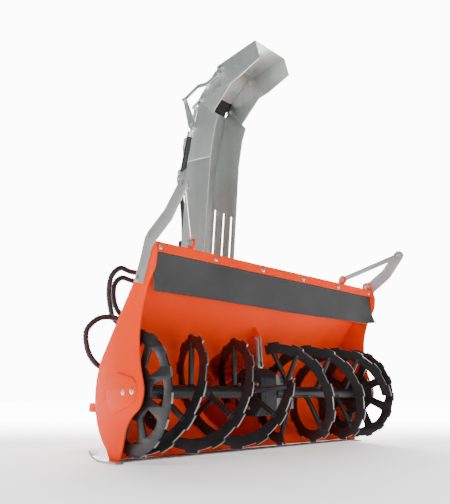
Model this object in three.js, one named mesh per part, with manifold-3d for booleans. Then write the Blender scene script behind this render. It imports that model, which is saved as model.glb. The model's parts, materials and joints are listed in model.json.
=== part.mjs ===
// Two stage snowblower attachment for a compact tractor.
// Millimetres. X to the machine's right, Y towards the tractor, Z up.
// The origin lies on the ground, under the middle of the cutting edge.
import * as THREE from "three";
import { mergeVertices } from "three/addons/utils/BufferGeometryUtils.js";
import Module from "manifold-3d";

const wasm = await Module();
wasm.setup();

// ---------- driving dimensions ----------
const GAP = 0.3; // clearance between pieces that touch
const PLATE_OUTER_X = 685; // outer faces of the side plates
const PLATE_THICKNESS = 6;
const PLATE_INNER_X = PLATE_OUTER_X - PLATE_THICKNESS;
const PANEL_END_X = PLATE_INNER_X - GAP; // panels end just short of the side plates

const AUGER_Y = -85;
const AUGER_Z = 236;
const AUGER_RADIUS = 208; // ribbon edge between its teeth
const TOOTH_HEIGHT = 9;
const RIBBON_INNER_RADIUS = 166;
const RIBBON_THICKNESS = 7;
const FLIGHT_PITCH = 450;
const TOOTH_STEP = 30; // degrees from one ribbon tooth to the next
const AUGER_TUBE_RADIUS = 24.15;
const AUGER_TUBE_BORE = 18.2;
const AUGER_SHAFT_RADIUS = 17.5;
const LEFT_TUBE_START_X = 99; // the gearbox sits off centre, so the tubes start apart
const RIGHT_TUBE_START_X = 43;
const DISC_X = 656; // middle of each end disc

const TROUGH_INNER_RADIUS = 224;
const TROUGH_OUTER_RADIUS = 228;
const TROUGH_END_ANGLE = 37; // the hood leaves the trough here, as a tangent
const TROUGH_LOW_ANGLE = -56;
const SEAM_Z = 455; // where hood plate and trough plate meet

const FLANGE_FRONT_Y = -201;
const FLANGE_BOTTOM_Z = 716;
const FLANGE_TOP_Z = 753;
const FLANGE_DEPTH = 52;
const FLANGE_THICKNESS = 5;
const FLAP_BOTTOM_Z = 573;
const FLAP_TOP_Z = 738;
const FLAP_THICKNESS = 7.5;

const IMPELLER_Z = 250;
const DRUM_INNER_RADIUS = 204;
const DRUM_OUTER_RADIUS = 208;
const DRUM_REAR_Y = 460;
const BACK_PLATE_RADIUS = 232;
const BACK_PLATE_THICKNESS = 6;

const CHUTE_Y = 350; // turning axis of the chute
const COLLAR_INNER_RADIUS = 94;
const COLLAR_OUTER_RADIUS = 98;
const COLLAR_FLANGE_RADIUS = 134;
const COLLAR_TOP_Z = 523;
const COLLAR_FLANGE_THICKNESS = 8;
const RING_THICKNESS = 22;
const RING_TEETH = 60;
const PINION_TEETH = 12;
const GEAR_MODULE = 5;
const PINION_X = -(GEAR_MODULE * (RING_TEETH + PINION_TEETH)) / 2;
const CHUTE_BASE_Z = COLLAR_TOP_Z + RING_THICKNESS + 2 * GAP;

const CHUTE_OUTER_X = 101; // outer faces of the chute's side walls
const SHEET = 3; // thickness of the galvanised sheet
const CHUTE_LEAN = 0.084; // forward run for each unit of height
const HINGE_LOW = [251, 1760]; // y and z of the lower deflector's hinge
const HINGE_HIGH = [91, 1872]; // y and z of the upper deflector's hinge
const LINK_REAR = [400, 1820];
const LINK_FRONT = [104, 1841];
const LEVER_PIN = [362, 1772];
const BARREL_PIN = [470, 1385];
const CYLINDER_X = -58;
const LOW_PORT = 52; // distances of the ports along the barrel
const HIGH_PORT = 236;
const PORT_REACH = 46;
const PORT_DROP = 26;

const CROSS_TUBE_Y = [515, 575];
const CROSS_TUBE_Z = [150, 190];
const CROSS_TUBE_HALF = 480;
const HOSE_RADIUS = 13.5;

// ---------- colours ----------
const material = (color, roughness, metalness) => () =>
  new THREE.MeshStandardMaterial({ color, roughness, metalness });
const orangePaint = material(0xe8480f, 0.42, 0.0);
const augerBlack = material(0x242424, 0.45, 0.1);
const castBlack = material(0x1a1a1a, 0.6, 0.2);
const galvanised = material(0xa9ada8, 0.5, 0.8);
const zincArm = material(0xaeb0ae, 0.45, 0.7);
const rubberGrey = material(0x454545, 0.8, 0.0);
const rubberBlack = material(0x161616, 0.7, 0.0);
const bareSteel = material(0x8d8f90, 0.35, 1.0);
const blackPlastic = material(0x202022, 0.5, 0.0);

const group = new THREE.Group();

// ---------- geometry helpers ----------
function toManifold(geometry) {
  const bare = new THREE.BufferGeometry();
  bare.setAttribute("position", geometry.getAttribute("position").clone());
  if (geometry.index) bare.setIndex(geometry.index.clone());
  const merged = mergeVertices(bare, 1e-4);
  const mesh = new wasm.Mesh({
    numProp: 3,
    vertProperties: new Float32Array(merged.getAttribute("position").array),
    triVerts: new Uint32Array(merged.index.array),
  });
  return new wasm.Manifold(mesh);
}

function toGeometry(manifold) {
  const mesh = manifold.getMesh();
  const geometry = new THREE.BufferGeometry();
  geometry.setAttribute("position", new THREE.BufferAttribute(mesh.vertProperties, 3));
  geometry.setIndex(new THREE.BufferAttribute(mesh.triVerts, 1));
  return geometry;
}

function join(...geometries) {
  return toGeometry(geometries.map(toManifold).reduce((whole, piece) => whole.add(piece)));
}

function cut(geometry, ...tools) {
  return toGeometry(tools.map(toManifold).reduce((rest, tool) => rest.subtract(tool), toManifold(geometry)));
}

function addPart(name, geometry, makeMaterial) {
  let shown = geometry;
  if (!geometry.getAttribute("normal")) {
    shown = geometry.toNonIndexed();
    shown.computeVertexNormals();
  }
  const mesh = new THREE.Mesh(shown, makeMaterial());
  mesh.name = name;
  group.add(mesh);
  return mesh;
}

// Closed outline, always taken anticlockwise.
function outline(points) {
  const corners = points.map(([u, v]) => new THREE.Vector2(u, v));
  if (THREE.ShapeUtils.isClockWise(corners)) corners.reverse();
  return new THREE.Shape(corners);
}

function hole(u, v, radius, sides = 16) {
  const points = [];
  for (let i = 0; i < sides; i += 1) {
    const angle = (-2 * Math.PI * i) / sides;
    points.push(new THREE.Vector2(u + radius * Math.cos(angle), v + radius * Math.sin(angle)));
  }
  return new THREE.Path(points);
}

function slab(shape, depth) {
  return new THREE.ExtrudeGeometry(shape, { depth, bevelEnabled: false, curveSegments: 8 });
}

// A shape drawn in (y, z), filling x from x0 to x1.
function platesideYZ(shape, x0, x1) {
  const turn = new THREE.Matrix4().makeBasis(
    new THREE.Vector3(0, 1, 0),
    new THREE.Vector3(0, 0, 1),
    new THREE.Vector3(1, 0, 0),
  );
  return slab(shape, x1 - x0).applyMatrix4(turn).translate(x0, 0, 0);
}

// A shape drawn in (x, z), filling y from y0 to y1.
function plateXZ(shape, y0, y1) {
  const turn = new THREE.Matrix4().makeBasis(
    new THREE.Vector3(1, 0, 0),
    new THREE.Vector3(0, 0, 1),
    new THREE.Vector3(0, -1, 0),
  );
  return slab(shape, y1 - y0).applyMatrix4(turn).translate(0, y1, 0);
}

// A shape drawn in (x, y), filling z from z0 to z1.
function plateXY(shape, z0, z1) {
  return slab(shape, z1 - z0).translate(0, 0, z0);
}

function box(x0, x1, y0, y1, z0, z1) {
  return new THREE.BoxGeometry(x1 - x0, y1 - y0, z1 - z0).translate(
    (x0 + x1) / 2,
    (y0 + y1) / 2,
    (z0 + z1) / 2,
  );
}

function barX(radius, x0, x1, y, z, sides = 16) {
  return new THREE.CylinderGeometry(radius, radius, x1 - x0, sides)
    .rotateZ(Math.PI / 2)
    .translate((x0 + x1) / 2, y, z);
}

function barY(radius, y0, y1, x, z, sides = 16) {
  return new THREE.CylinderGeometry(radius, radius, y1 - y0, sides).translate(x, (y0 + y1) / 2, z);
}

function barZ(radius, z0, z1, x, y, sides = 16) {
  return new THREE.CylinderGeometry(radius, radius, z1 - z0, sides)
    .rotateX(Math.PI / 2)
    .translate(x, y, (z0 + z1) / 2);
}

// A round bar between two points.
function rod(start, end, radius, sides = 12) {
  const from = new THREE.Vector3(...start);
  const to = new THREE.Vector3(...end);
  const along = to.clone().sub(from);
  const turn = new THREE.Quaternion().setFromUnitVectors(
    new THREE.Vector3(0, 1, 0),
    along.clone().normalize(),
  );
  return new THREE.CylinderGeometry(radius, radius, along.length(), sides)
    .applyQuaternion(turn)
    .translate(...from.add(to).multiplyScalar(0.5).toArray());
}

function mirrorX(geometry) {
  const mirrored = geometry.clone().applyMatrix4(new THREE.Matrix4().makeScale(-1, 1, 1));
  const flat = mirrored.index ? mirrored.toNonIndexed() : mirrored;
  const position = flat.getAttribute("position");
  for (let i = 0; i < position.count; i += 3) {
    const b = [position.getX(i + 1), position.getY(i + 1), position.getZ(i + 1)];
    const c = [position.getX(i + 2), position.getY(i + 2), position.getZ(i + 2)];
    position.setXYZ(i + 1, ...c);
    position.setXYZ(i + 2, ...b);
  }
  const bare = new THREE.BufferGeometry();
  bare.setAttribute("position", position.clone());
  return mergeVertices(bare, 1e-4);
}

const radians = (degrees) => (degrees * Math.PI) / 180;

// A point of the trough's section: radius and angle round the auger axis, angle 0 to the rear.
function troughPoint(radius, angle) {
  return [AUGER_Y + radius * Math.cos(radians(angle)), AUGER_Z + radius * Math.sin(radians(angle))];
}

// A point of the hood's straight part, which leaves the trough as a tangent.
function hoodPoint(radius, z) {
  const [startY, startZ] = troughPoint(radius, TROUGH_END_ANGLE);
  const run = (z - startZ) / Math.cos(radians(TROUGH_END_ANGLE));
  return [startY - run * Math.sin(radians(TROUGH_END_ANGLE)), z];
}

function troughArc(radius, from, to, steps) {
  const points = [];
  for (let i = 0; i <= steps; i += 1) {
    points.push(troughPoint(radius, from + ((to - from) * i) / steps));
  }
  return points;
}

// Radius of a many-sided bore in which a shaft of the given radius turns freely.
const boreFor = (shaftRadius, sides) => (shaftRadius + GAP) / Math.cos(Math.PI / sides);

// ---------- housing ----------
const EAR = [-176, 772];
const EAR_RADIUS = 25;
const PLATE_BOTTOM_Z = 8.5;

function sidePlateOutline() {
  const rear = troughArc(TROUGH_OUTER_RADIUS + 6, TROUGH_LOW_ANGLE, TROUGH_END_ANGLE, 14);
  const ear = [];
  for (let i = 0; i <= 8; i += 1) {
    const angle = radians(-10 + (190 * i) / 8);
    ear.push([EAR[0] + EAR_RADIUS * Math.cos(angle), EAR[1] + EAR_RADIUS * Math.sin(angle)]);
  }
  const front = new THREE.SplineCurve(
    [
      [-222, 705],
      [-213, 655],
      [-172, 590],
      [-140, 500],
      [-134, 400],
      [-150, 315],
      [-174, 240],
      [-158, 188],
      [-112, 155],
      [-80, 118],
      [-62, 55],
      [-42, PLATE_BOTTOM_Z],
    ].map(([y, z]) => new THREE.Vector2(y, z)),
  )
    .getPoints(33)
    .map((point) => [point.x, point.y]);
  return outline([[20, PLATE_BOTTOM_Z], ...rear, hoodPoint(TROUGH_OUTER_RADIUS + 6, 690), ...ear, ...front]);
}

function bearingCoverOutline() {
  return outline([
    [31, 288],
    [-9, 301],
    [-109, 283],
    [-133, 266],
    [-141, 236],
    [-134, 209],
    [-116, 196],
    [-10, 163],
    [25, 170],
    [49, 201],
    [58, 243],
  ]);
}

function buildSides() {
  const plate = sidePlateOutline();
  plate.holes.push(hole(AUGER_Y, AUGER_Z, AUGER_SHAFT_RADIUS + 3, 20));
  const left = platesideYZ(plate, -PLATE_OUTER_X, -PLATE_INNER_X);
  addPart("side_plate_left", left, orangePaint);
  addPart("side_plate_right", mirrorX(left), orangePaint);

  const coverStart = PLATE_OUTER_X + GAP;
  const cover = platesideYZ(bearingCoverOutline(), -coverStart - 7, -coverStart);
  addPart("bearing_cover_left", cover, orangePaint);
  addPart("bearing_cover_right", mirrorX(cover), orangePaint);

  const housing = join(
    barX(52, -PLATE_INNER_X + GAP, -PLATE_INNER_X + 7, AUGER_Y, AUGER_Z, 24),
    barX(36, -PLATE_INNER_X + GAP, -PLATE_INNER_X + 15, AUGER_Y, AUGER_Z, 24),
  );
  const bearing = cut(
    housing,
    barX(boreFor(AUGER_SHAFT_RADIUS, 16), -PLATE_OUTER_X, -DISC_X, AUGER_Y, AUGER_Z, 16),
  );
  addPart("auger_bearing_left", bearing, castBlack);
  addPart("auger_bearing_right", mirrorX(bearing), castBlack);
}

function buildPanels() {
  const [seamInnerY] = hoodPoint(TROUGH_INNER_RADIUS, SEAM_Z);
  const [seamOuterY] = hoodPoint(TROUGH_OUTER_RADIUS, SEAM_Z);
  const trough = outline([
    [14, PLATE_BOTTOM_Z + 0.5],
    ...troughArc(TROUGH_OUTER_RADIUS, TROUGH_LOW_ANGLE, TROUGH_END_ANGLE, 18),
    [seamOuterY, SEAM_Z],
    [seamInnerY, SEAM_Z],
    ...troughArc(TROUGH_INNER_RADIUS, TROUGH_END_ANGLE, TROUGH_LOW_ANGLE, 18),
    [9, PLATE_BOTTOM_Z + 0.5],
  ]);
  const opening = barY(DRUM_INNER_RADIUS - 0.5, -100, 300, 0, IMPELLER_Z, 48);
  addPart("trough_plate", cut(platesideYZ(trough, -PANEL_END_X, PANEL_END_X), opening), orangePaint);

  const hoodTop = FLANGE_TOP_Z - FLANGE_THICKNESS - GAP;
  const hood = outline([
    hoodPoint(TROUGH_OUTER_RADIUS, SEAM_Z + GAP),
    hoodPoint(TROUGH_OUTER_RADIUS, hoodTop),
    hoodPoint(TROUGH_INNER_RADIUS, hoodTop),
    hoodPoint(TROUGH_INNER_RADIUS, SEAM_Z + GAP),
  ]);
  addPart("hood_plate", platesideYZ(hood, -PANEL_END_X, PANEL_END_X), orangePaint);

  const flange = outline([
    [FLANGE_FRONT_Y, FLANGE_BOTTOM_Z],
    [FLANGE_FRONT_Y + FLANGE_THICKNESS, FLANGE_BOTTOM_Z],
    [FLANGE_FRONT_Y + FLANGE_THICKNESS, FLANGE_TOP_Z - FLANGE_THICKNESS],
    [FLANGE_FRONT_Y + FLANGE_DEPTH, FLANGE_TOP_Z - FLANGE_THICKNESS],
    [FLANGE_FRONT_Y + FLANGE_DEPTH, FLANGE_TOP_Z],
    [FLANGE_FRONT_Y, FLANGE_TOP_Z],
  ]);
  const lugs = [-LEFT_LUG_X, RIGHT_LUG_X].map((x) =>
    platesideYZ(
      outline([
        [-222 + 21, FLANGE_TOP_Z - 1],
        [-168, FLANGE_TOP_Z - 1],
        [-172, 783],
        [-184, 795],
        [-202, 795],
        [-214, 783],
        [-214, 762],
      ]),
      x - 3,
      x + 3,
    ),
  );
  addPart("top_flange", join(platesideYZ(flange, -PANEL_END_X, PANEL_END_X), ...lugs), orangePaint);

  const flapFront = FLANGE_FRONT_Y + FLANGE_THICKNESS + GAP;
  const flap = box(-672, 672, flapFront, flapFront + FLAP_THICKNESS, FLAP_BOTTOM_Z, FLAP_TOP_Z);
  addPart("snow_flap", flap, rubberGrey);

  const edge = outline([
    [-12, 0],
    [62, 0],
    [62, 8.2],
    [-8, 8.2],
    [-12, 5],
  ]);
  addPart("cutting_edge", platesideYZ(edge, -PANEL_END_X, PANEL_END_X), augerBlack);

  const skid = outline([
    [-66, 6],
    [-69, 2],
    [-62, 0],
    [62, 0],
    [104, 9],
    [134, 28],
    [130, 35],
    [100, 17],
    [60, 8.2],
    [-60, 8.2],
  ]);
  const leftSkid = platesideYZ(skid, -PLATE_OUTER_X - 22, -PLATE_INNER_X);
  addPart("skid_left", leftSkid, galvanised);
  addPart("skid_right", mirrorX(leftSkid), galvanised);
}

// ---------- drift cutter arms ----------
const LEFT_LUG_X = 507;
const RIGHT_LUG_X = 446;
const ARM_THICKNESS = 8;
const STRUT_THICKNESS = 6;
const ARM_TIP = [-370, 905];
const STRUT_FOOT = [-193, 778];

function armOutline() {
  const tip = [];
  for (let i = 0; i <= 6; i += 1) {
    const angle = radians(215 - (170 * i) / 6);
    tip.push([ARM_TIP[0] + 26 * Math.cos(angle), ARM_TIP[1] + 26 * Math.sin(angle)]);
  }
  return outline([
    [-97, 618],
    [-129, 691],
    [-156, 770],
    [-172, 787],
    [-272, 845],
    [-313, 886],
    ...tip.reverse(),
    [-356, 851],
    [-311, 800],
    [-219, 745],
    [-198, 718],
    [-152, 603],
  ]);
}

// The strut is a flat bar standing on edge, with an eye at each end.
function strutGeometry(lugX) {
  const top = new THREE.Vector3(-PLATE_OUTER_X + STRUT_THICKNESS / 2 + GAP, ARM_TIP[0], ARM_TIP[1]);
  const foot = new THREE.Vector3(-lugX - 3 - GAP - STRUT_THICKNESS / 2, STRUT_FOOT[0], STRUT_FOOT[1]);
  const along = foot.clone().sub(top).normalize();
  const across = new THREE.Vector3(along.y, -along.x, 0).normalize();
  const upright = new THREE.Vector3().crossVectors(across, along);
  const turn = new THREE.Matrix4().makeBasis(along, upright, new THREE.Vector3().crossVectors(along, upright));
  const inset = 13;
  const length = foot.distanceTo(top) - 2 * inset;
  const middle = foot.clone().add(top).multiplyScalar(0.5);
  const bar = new THREE.BoxGeometry(length, 24, STRUT_THICKNESS)
    .applyMatrix4(turn)
    .translate(...middle.toArray());
  const eye = ([y, z], x) => barX(14, x - STRUT_THICKNESS / 2, x + STRUT_THICKNESS / 2, y, z, 16);
  const tongue = (centre, sign) =>
    rod(
      centre.toArray(),
      centre.clone().addScaledVector(along, sign * 26).toArray(),
      STRUT_THICKNESS / 2 - 0.2,
      8,
    );
  return join(bar, eye(ARM_TIP, top.x), eye(STRUT_FOOT, foot.x), tongue(top, 1), tongue(foot, -1));
}

function buildArms() {
  const start = PLATE_OUTER_X + GAP;
  const arm = platesideYZ(armOutline(), -start - ARM_THICKNESS, -start);
  addPart("drift_arm_left", arm, zincArm);
  addPart("drift_arm_right", mirrorX(arm), zincArm);
  addPart("arm_strut_left", strutGeometry(LEFT_LUG_X), zincArm);
  addPart("arm_strut_right", mirrorX(strutGeometry(RIGHT_LUG_X)), zincArm);
}

// ---------- impeller drum ----------
// Everything in front of the trough plate's rear face, used to trim the drum to it.
function inFrontOfTrough() {
  const rear = TROUGH_OUTER_RADIUS + GAP;
  const top = hoodPoint(rear, 600);
  return platesideYZ(
    outline([
      [-400, -50],
      [-29, -50],
      [15.5, 9],
      ...troughArc(rear, TROUGH_LOW_ANGLE, TROUGH_END_ANGLE, 18),
      top,
      [-400, 600],
    ]),
    -400,
    400,
  );
}

function buildDrum() {
  const sides = 48;
  const bore = barZ(COLLAR_INNER_RADIUS, IMPELLER_Z, COLLAR_TOP_Z + 20, 0, CHUTE_Y, 32);
  const drum = cut(
    barY(DRUM_OUTER_RADIUS, -20, DRUM_REAR_Y, 0, IMPELLER_Z, sides),
    barY(DRUM_INNER_RADIUS, -40, DRUM_REAR_Y + 20, 0, IMPELLER_Z, sides),
    bore,
    inFrontOfTrough(),
  );
  addPart("impeller_drum", drum, orangePaint);

  const seatZ = COLLAR_TOP_Z - COLLAR_FLANGE_THICKNESS;
  const collar = cut(
    join(
      barZ(COLLAR_OUTER_RADIUS, IMPELLER_Z + 100, COLLAR_TOP_Z, 0, CHUTE_Y, 32),
      barZ(COLLAR_FLANGE_RADIUS, seatZ, COLLAR_TOP_Z, 0, CHUTE_Y, 32),
      box(PINION_X - 48, PINION_X + 60, CHUTE_Y - 42, CHUTE_Y + 42, seatZ, COLLAR_TOP_Z),
    ),
    bore,
    barZ(14, seatZ - 20, COLLAR_TOP_Z + 20, PINION_X, CHUTE_Y, 16),
    barY(DRUM_OUTER_RADIUS + GAP, -20, DRUM_REAR_Y + 30, 0, IMPELLER_Z, sides),
  );
  addPart("outlet_collar", collar, orangePaint);

  const plateShape = new THREE.Shape();
  plateShape.absarc(0, IMPELLER_Z, BACK_PLATE_RADIUS, 0, 2 * Math.PI);
  plateShape.holes.push(hole(0, IMPELLER_Z, 24, 20));
  const start = DRUM_REAR_Y + GAP;
  const backPlate = new THREE.ExtrudeGeometry(plateShape, {
    depth: BACK_PLATE_THICKNESS,
    bevelEnabled: false,
    curveSegments: 40,
  });
  const turn = new THREE.Matrix4().makeBasis(
    new THREE.Vector3(1, 0, 0),
    new THREE.Vector3(0, 0, 1),
    new THREE.Vector3(0, -1, 0),
  );
  backPlate.applyMatrix4(turn).translate(0, start + BACK_PLATE_THICKNESS, 0);
  addPart("drum_back_plate", backPlate, orangePaint);

  const bearingStart = start + BACK_PLATE_THICKNESS + GAP;
  const bearing = cut(
    join(
      box(-52, 52, bearingStart, bearingStart + 10, IMPELLER_Z - 52, IMPELLER_Z + 52),
      barY(38, bearingStart + 5, bearingStart + 24, 0, IMPELLER_Z, 24),
    ),
    barY(boreFor(20, 16), bearingStart - 10, bearingStart + 40, 0, IMPELLER_Z, 16),
  );
  addPart("impeller_bearing", bearing, castBlack);
}

// ---------- gearbox and its torque link ----------
const CASE_X = [-88, 34];
const CASE_HUB_X = [-97, 41];
const CASE_Y = [-138, 20];
const CASE_Z = [140, 334];
const CASE_WALL = 7;
const CASE_CHAMFER = 38;
const NECK_REAR_Y = 64;
const GUSSET_PIN = [-36, 465];
const LUG_PIN = [-44, 350];

function buildGearbox() {
  const chamfer = CASE_CHAMFER;
  const [y0, y1] = CASE_Y;
  const [z0, z1] = CASE_Z;
  const section = outline([
    [y0 + chamfer, z0],
    [y1 - chamfer, z0],
    [y1, z0 + chamfer],
    [y1, z1 - chamfer],
    [y1 - chamfer, z1],
    [y0 + chamfer, z1],
    [y0, z1 - chamfer],
    [y0, z0 + chamfer],
  ]);
  const lugShape = outline([
    [LUG_PIN[0] - 16, z1 - 40],
    [LUG_PIN[0] + 16, z1 - 40],
    [LUG_PIN[0] + 13, 366],
    [LUG_PIN[0] - 13, 366],
  ]);
  lugShape.holes.push(hole(...LUG_PIN, 7.5));
  const body = join(
    platesideYZ(section, ...CASE_X),
    barX(29, ...CASE_HUB_X, AUGER_Y, AUGER_Z, 24),
    barY(44, y1 - 6, NECK_REAR_Y, 0, IMPELLER_Z, 24),
  );
  const lug = platesideYZ(lugShape, -5.5, 5.5);
  const inside = box(CASE_X[0] + CASE_WALL, 20, y0 + 5, -28, z0 + 48, z1 - 48);
  // The corners beside the throwing paddle are cut back.
  const frontCorner = plateXY(outline([[-6, y0 - 1], [60, y0 - 1], [60, -70], [CASE_X[1], -97]]), 0, 400);
  const topCorner = plateXZ(outline([[-22, z1 + 1], [60, z1 + 1], [60, 292], [CASE_X[1], 304]]), y0 - 5, y1 + 5);
  const gearbox = cut(
    join(cut(body, frontCorner, topCorner), barX(29, ...CASE_HUB_X, AUGER_Y, AUGER_Z, 24), lug),
    inside,
    barX(boreFor(AUGER_SHAFT_RADIUS, 16), -120, 60, AUGER_Y, AUGER_Z, 16),
    barY(boreFor(15, 16), -30, y1 + 100, 0, IMPELLER_Z, 16),
  );
  addPart("gearbox_case", gearbox, castBlack);

  const gusset = outline([
    [-20.5, 519],
    [-48, 482],
    [-48, 452],
    [-30, 444],
    [38, 441],
  ]);
  gusset.holes.push(hole(...GUSSET_PIN, 7.5));
  addPart("torque_gusset", platesideYZ(gusset, -4, 4), orangePaint);

  const strap = outline([
    [LUG_PIN[0] - 11, LUG_PIN[1] - 12],
    [LUG_PIN[0] + 11, LUG_PIN[1] - 12],
    [GUSSET_PIN[0] + 11, GUSSET_PIN[1] + 12],
    [GUSSET_PIN[0] - 11, GUSSET_PIN[1] + 12],
  ]);
  const link = join(
    platesideYZ(strap, -12, -6),
    platesideYZ(strap, 6, 12),
    barX(7, -18, 18, ...GUSSET_PIN, 12),
    barX(7, -18, 18, ...LUG_PIN, 12),
  );
  addPart("torque_link", link, galvanised);
}

// ---------- auger ----------
// Angle 0 is the front of the auger and 90 its top.
function augerPoint(x, radius, angle) {
  return [x, AUGER_Y - radius * Math.cos(radians(angle)), AUGER_Z + radius * Math.sin(radians(angle))];
}

// Closed solid through a row of four-cornered sections.
function sweptSections(sections) {
  const positions = sections.flat(2);
  const index = [];
  const quad = (a, b, c, d) => index.push(a, c, b, a, d, c);
  for (let i = 0; i + 1 < sections.length; i += 1) {
    for (let k = 0; k < 4; k += 1) {
      const next = (k + 1) % 4;
      quad(4 * i + k, 4 * i + next, 4 * (i + 1) + next, 4 * (i + 1) + k);
    }
  }
  const last = 4 * (sections.length - 1);
  quad(3, 2, 1, 0);
  quad(last, last + 1, last + 2, last + 3);
  const geometry = new THREE.BufferGeometry();
  geometry.setAttribute("position", new THREE.Float32BufferAttribute(positions, 3));
  geometry.setIndex(index);
  return geometry;
}

// One toothed ribbon of the left half, with its spokes and the slanting stay near its inner end.
function flightGeometry(xAtFront, startAngle, endAngle, spokeAngle) {
  const xAt = (angle) => xAtFront + (FLIGHT_PITCH * angle) / 360;
  const stops = [];
  for (let tooth = startAngle; tooth < endAngle - 1; tooth += TOOTH_STEP) {
    stops.push([tooth, 0], [tooth + 1, TOOTH_HEIGHT], [tooth + 14, TOOTH_HEIGHT], [tooth + 15, 0]);
  }
  const kept = stops.filter(([angle]) => angle < endAngle - 1);
  kept.push([endAngle, TOOTH_HEIGHT]);
  const half = RIBBON_THICKNESS / 2;
  const sections = kept.map(([angle, rise]) => {
    const x = xAt(angle);
    const outer = AUGER_RADIUS + rise;
    return [
      augerPoint(x - half, RIBBON_INNER_RADIUS, angle),
      augerPoint(x + half, RIBBON_INNER_RADIUS, angle),
      augerPoint(x + half, outer, angle),
      augerPoint(x - half, outer, angle),
    ];
  });
  const pieces = [sweptSections(sections)];
  for (let angle = spokeAngle; angle < endAngle - 5; angle += 120) {
    if (angle > startAngle + 5) pieces.push(spoke(xAt(angle), angle));
  }
  pieces.push(endStay(xAt(endAngle - 8), endAngle - 8));
  return join(...pieces);
}

function spoke(x, angle) {
  const foot = augerPoint(x, AUGER_TUBE_RADIUS + GAP + 0.4, angle);
  const tip = augerPoint(x, RIBBON_INNER_RADIUS + 16, angle);
  return rod(foot, tip, 11, 8);
}

// Slanting rod that holds a ribbon's free end from the side away from the gearbox.
function endStay(x, angle) {
  const foot = augerPoint(x - 86, AUGER_TUBE_RADIUS + 7, angle);
  const tip = augerPoint(x - 4, RIBBON_INNER_RADIUS + 17, angle);
  return rod(foot, tip, 11, 8);
}

// End disc: toothed rim, eight windows and a hub, all in one plate.
function discShape(windowPhase) {
  const rim = [];
  for (let tooth = 0; tooth < 16; tooth += 1) {
    const start = tooth * 22.5;
    const steps = [
      [start, 0],
      [start + 1, 6],
      [start + 10, 6],
      [start + 11, 0],
    ];
    for (const [angle, rise] of steps) {
      const radius = AUGER_RADIUS + rise;
      rim.push([AUGER_Y + radius * Math.cos(radians(angle)), AUGER_Z + radius * Math.sin(radians(angle))]);
    }
  }
  const shape = outline(rim);
  shape.holes.push(hole(AUGER_Y, AUGER_Z, AUGER_TUBE_BORE, 16));
  for (let k = 0; k < 8; k += 1) {
    const middle = windowPhase + 45 * k;
    const corners = [
      [96, -12],
      [166, -15],
      [170, -6],
      [170, 6],
      [166, 15],
      [96, 12],
    ];
    const points = corners.map(([radius, offset]) => {
      const angle = radians(middle + offset);
      return new THREE.Vector2(AUGER_Y - radius * Math.cos(angle), AUGER_Z + radius * Math.sin(angle));
    });
    shape.holes.push(new THREE.Path(points));
  }
  return shape;
}

function tubeShape() {
  const ring = new THREE.Shape(hole(AUGER_Y, AUGER_Z, AUGER_TUBE_RADIUS, 20).getPoints().reverse());
  ring.holes.push(hole(AUGER_Y, AUGER_Z, AUGER_TUBE_BORE, 16));
  return ring;
}

function augerCore(windowPhase, tubeStartX) {
  const disc = platesideYZ(discShape(windowPhase), -DISC_X - 4, -DISC_X + 4);
  const tube = platesideYZ(tubeShape(), -DISC_X - 1, -tubeStartX);
  return join(disc, tube);
}

const LEFT_SPOKE_ANGLE = -390;
const RIGHT_SPOKE_ANGLE = -420;
const PADDLE_X = [71, 199];
const PADDLE_Z = [165, 312];
const PADDLE_DEPTH = 30;
const SPOKE_HOLE_X = 177; // a spoke passes through the throwing paddle here
const LEFT_FLIGHT_X = -526;
const RIGHT_FLIGHT_X = -177;

function buildAuger() {
  addPart("auger_core_left", augerCore(-2, LEFT_TUBE_START_X), augerBlack);
  addPart("auger_core_right", mirrorX(augerCore(0, RIGHT_TUBE_START_X)), augerBlack);

  const addFlight = (name, xAtFront, end, spokeAngle, mirrored) => {
    const flight = flightGeometry(xAtFront, end - 469, end, spokeAngle);
    addPart(name, mirrored ? mirrorX(flight) : flight, augerBlack);
  };
  const half = FLIGHT_PITCH / 2;
  addFlight("auger_flight_left_a", LEFT_FLIGHT_X, 374, LEFT_SPOKE_ANGLE, false);
  addFlight("auger_flight_left_b", LEFT_FLIGHT_X + half, 194, LEFT_SPOKE_ANGLE, false);
  addFlight("auger_flight_right_a", RIGHT_FLIGHT_X, 104, RIGHT_SPOKE_ANGLE, true);
  addFlight("auger_flight_right_b", RIGHT_FLIGHT_X - half, 284, RIGHT_SPOKE_ANGLE, true);

  const shaftEnd = PLATE_INNER_X - 2;
  addPart("auger_shaft", barX(AUGER_SHAFT_RADIUS, -shaftEnd, shaftEnd, AUGER_Y, AUGER_Z, 16), bareSteel);

  const wheel = new THREE.CylinderGeometry(34, 44, 7.5, 24).rotateZ(-Math.PI / 2);
  const gear = cut(
    join(wheel.translate(-21, AUGER_Y, AUGER_Z), barX(30, -44, -21, AUGER_Y, AUGER_Z, 24)),
    barX(AUGER_SHAFT_RADIUS + GAP, -60, 30, AUGER_Y, AUGER_Z, 16),
  );
  addPart("auger_gear", gear, bareSteel);

  const webFront = AUGER_Y + AUGER_TUBE_RADIUS + GAP + 0.3;
  const channel = cut(
    box(...PADDLE_X, webFront, webFront + PADDLE_DEPTH, ...PADDLE_Z),
    box(PADDLE_X[0] + 5, PADDLE_X[1] - 5, webFront + 5, webFront + 60, PADDLE_Z[0] - 9, PADDLE_Z[1] + 9),
    rod(augerPoint(SPOKE_HOLE_X, 20, 180), augerPoint(SPOKE_HOLE_X, 130, 180), 13.5, 12),
  );
  addPart("throwing_paddle", channel, galvanised);
}

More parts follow.
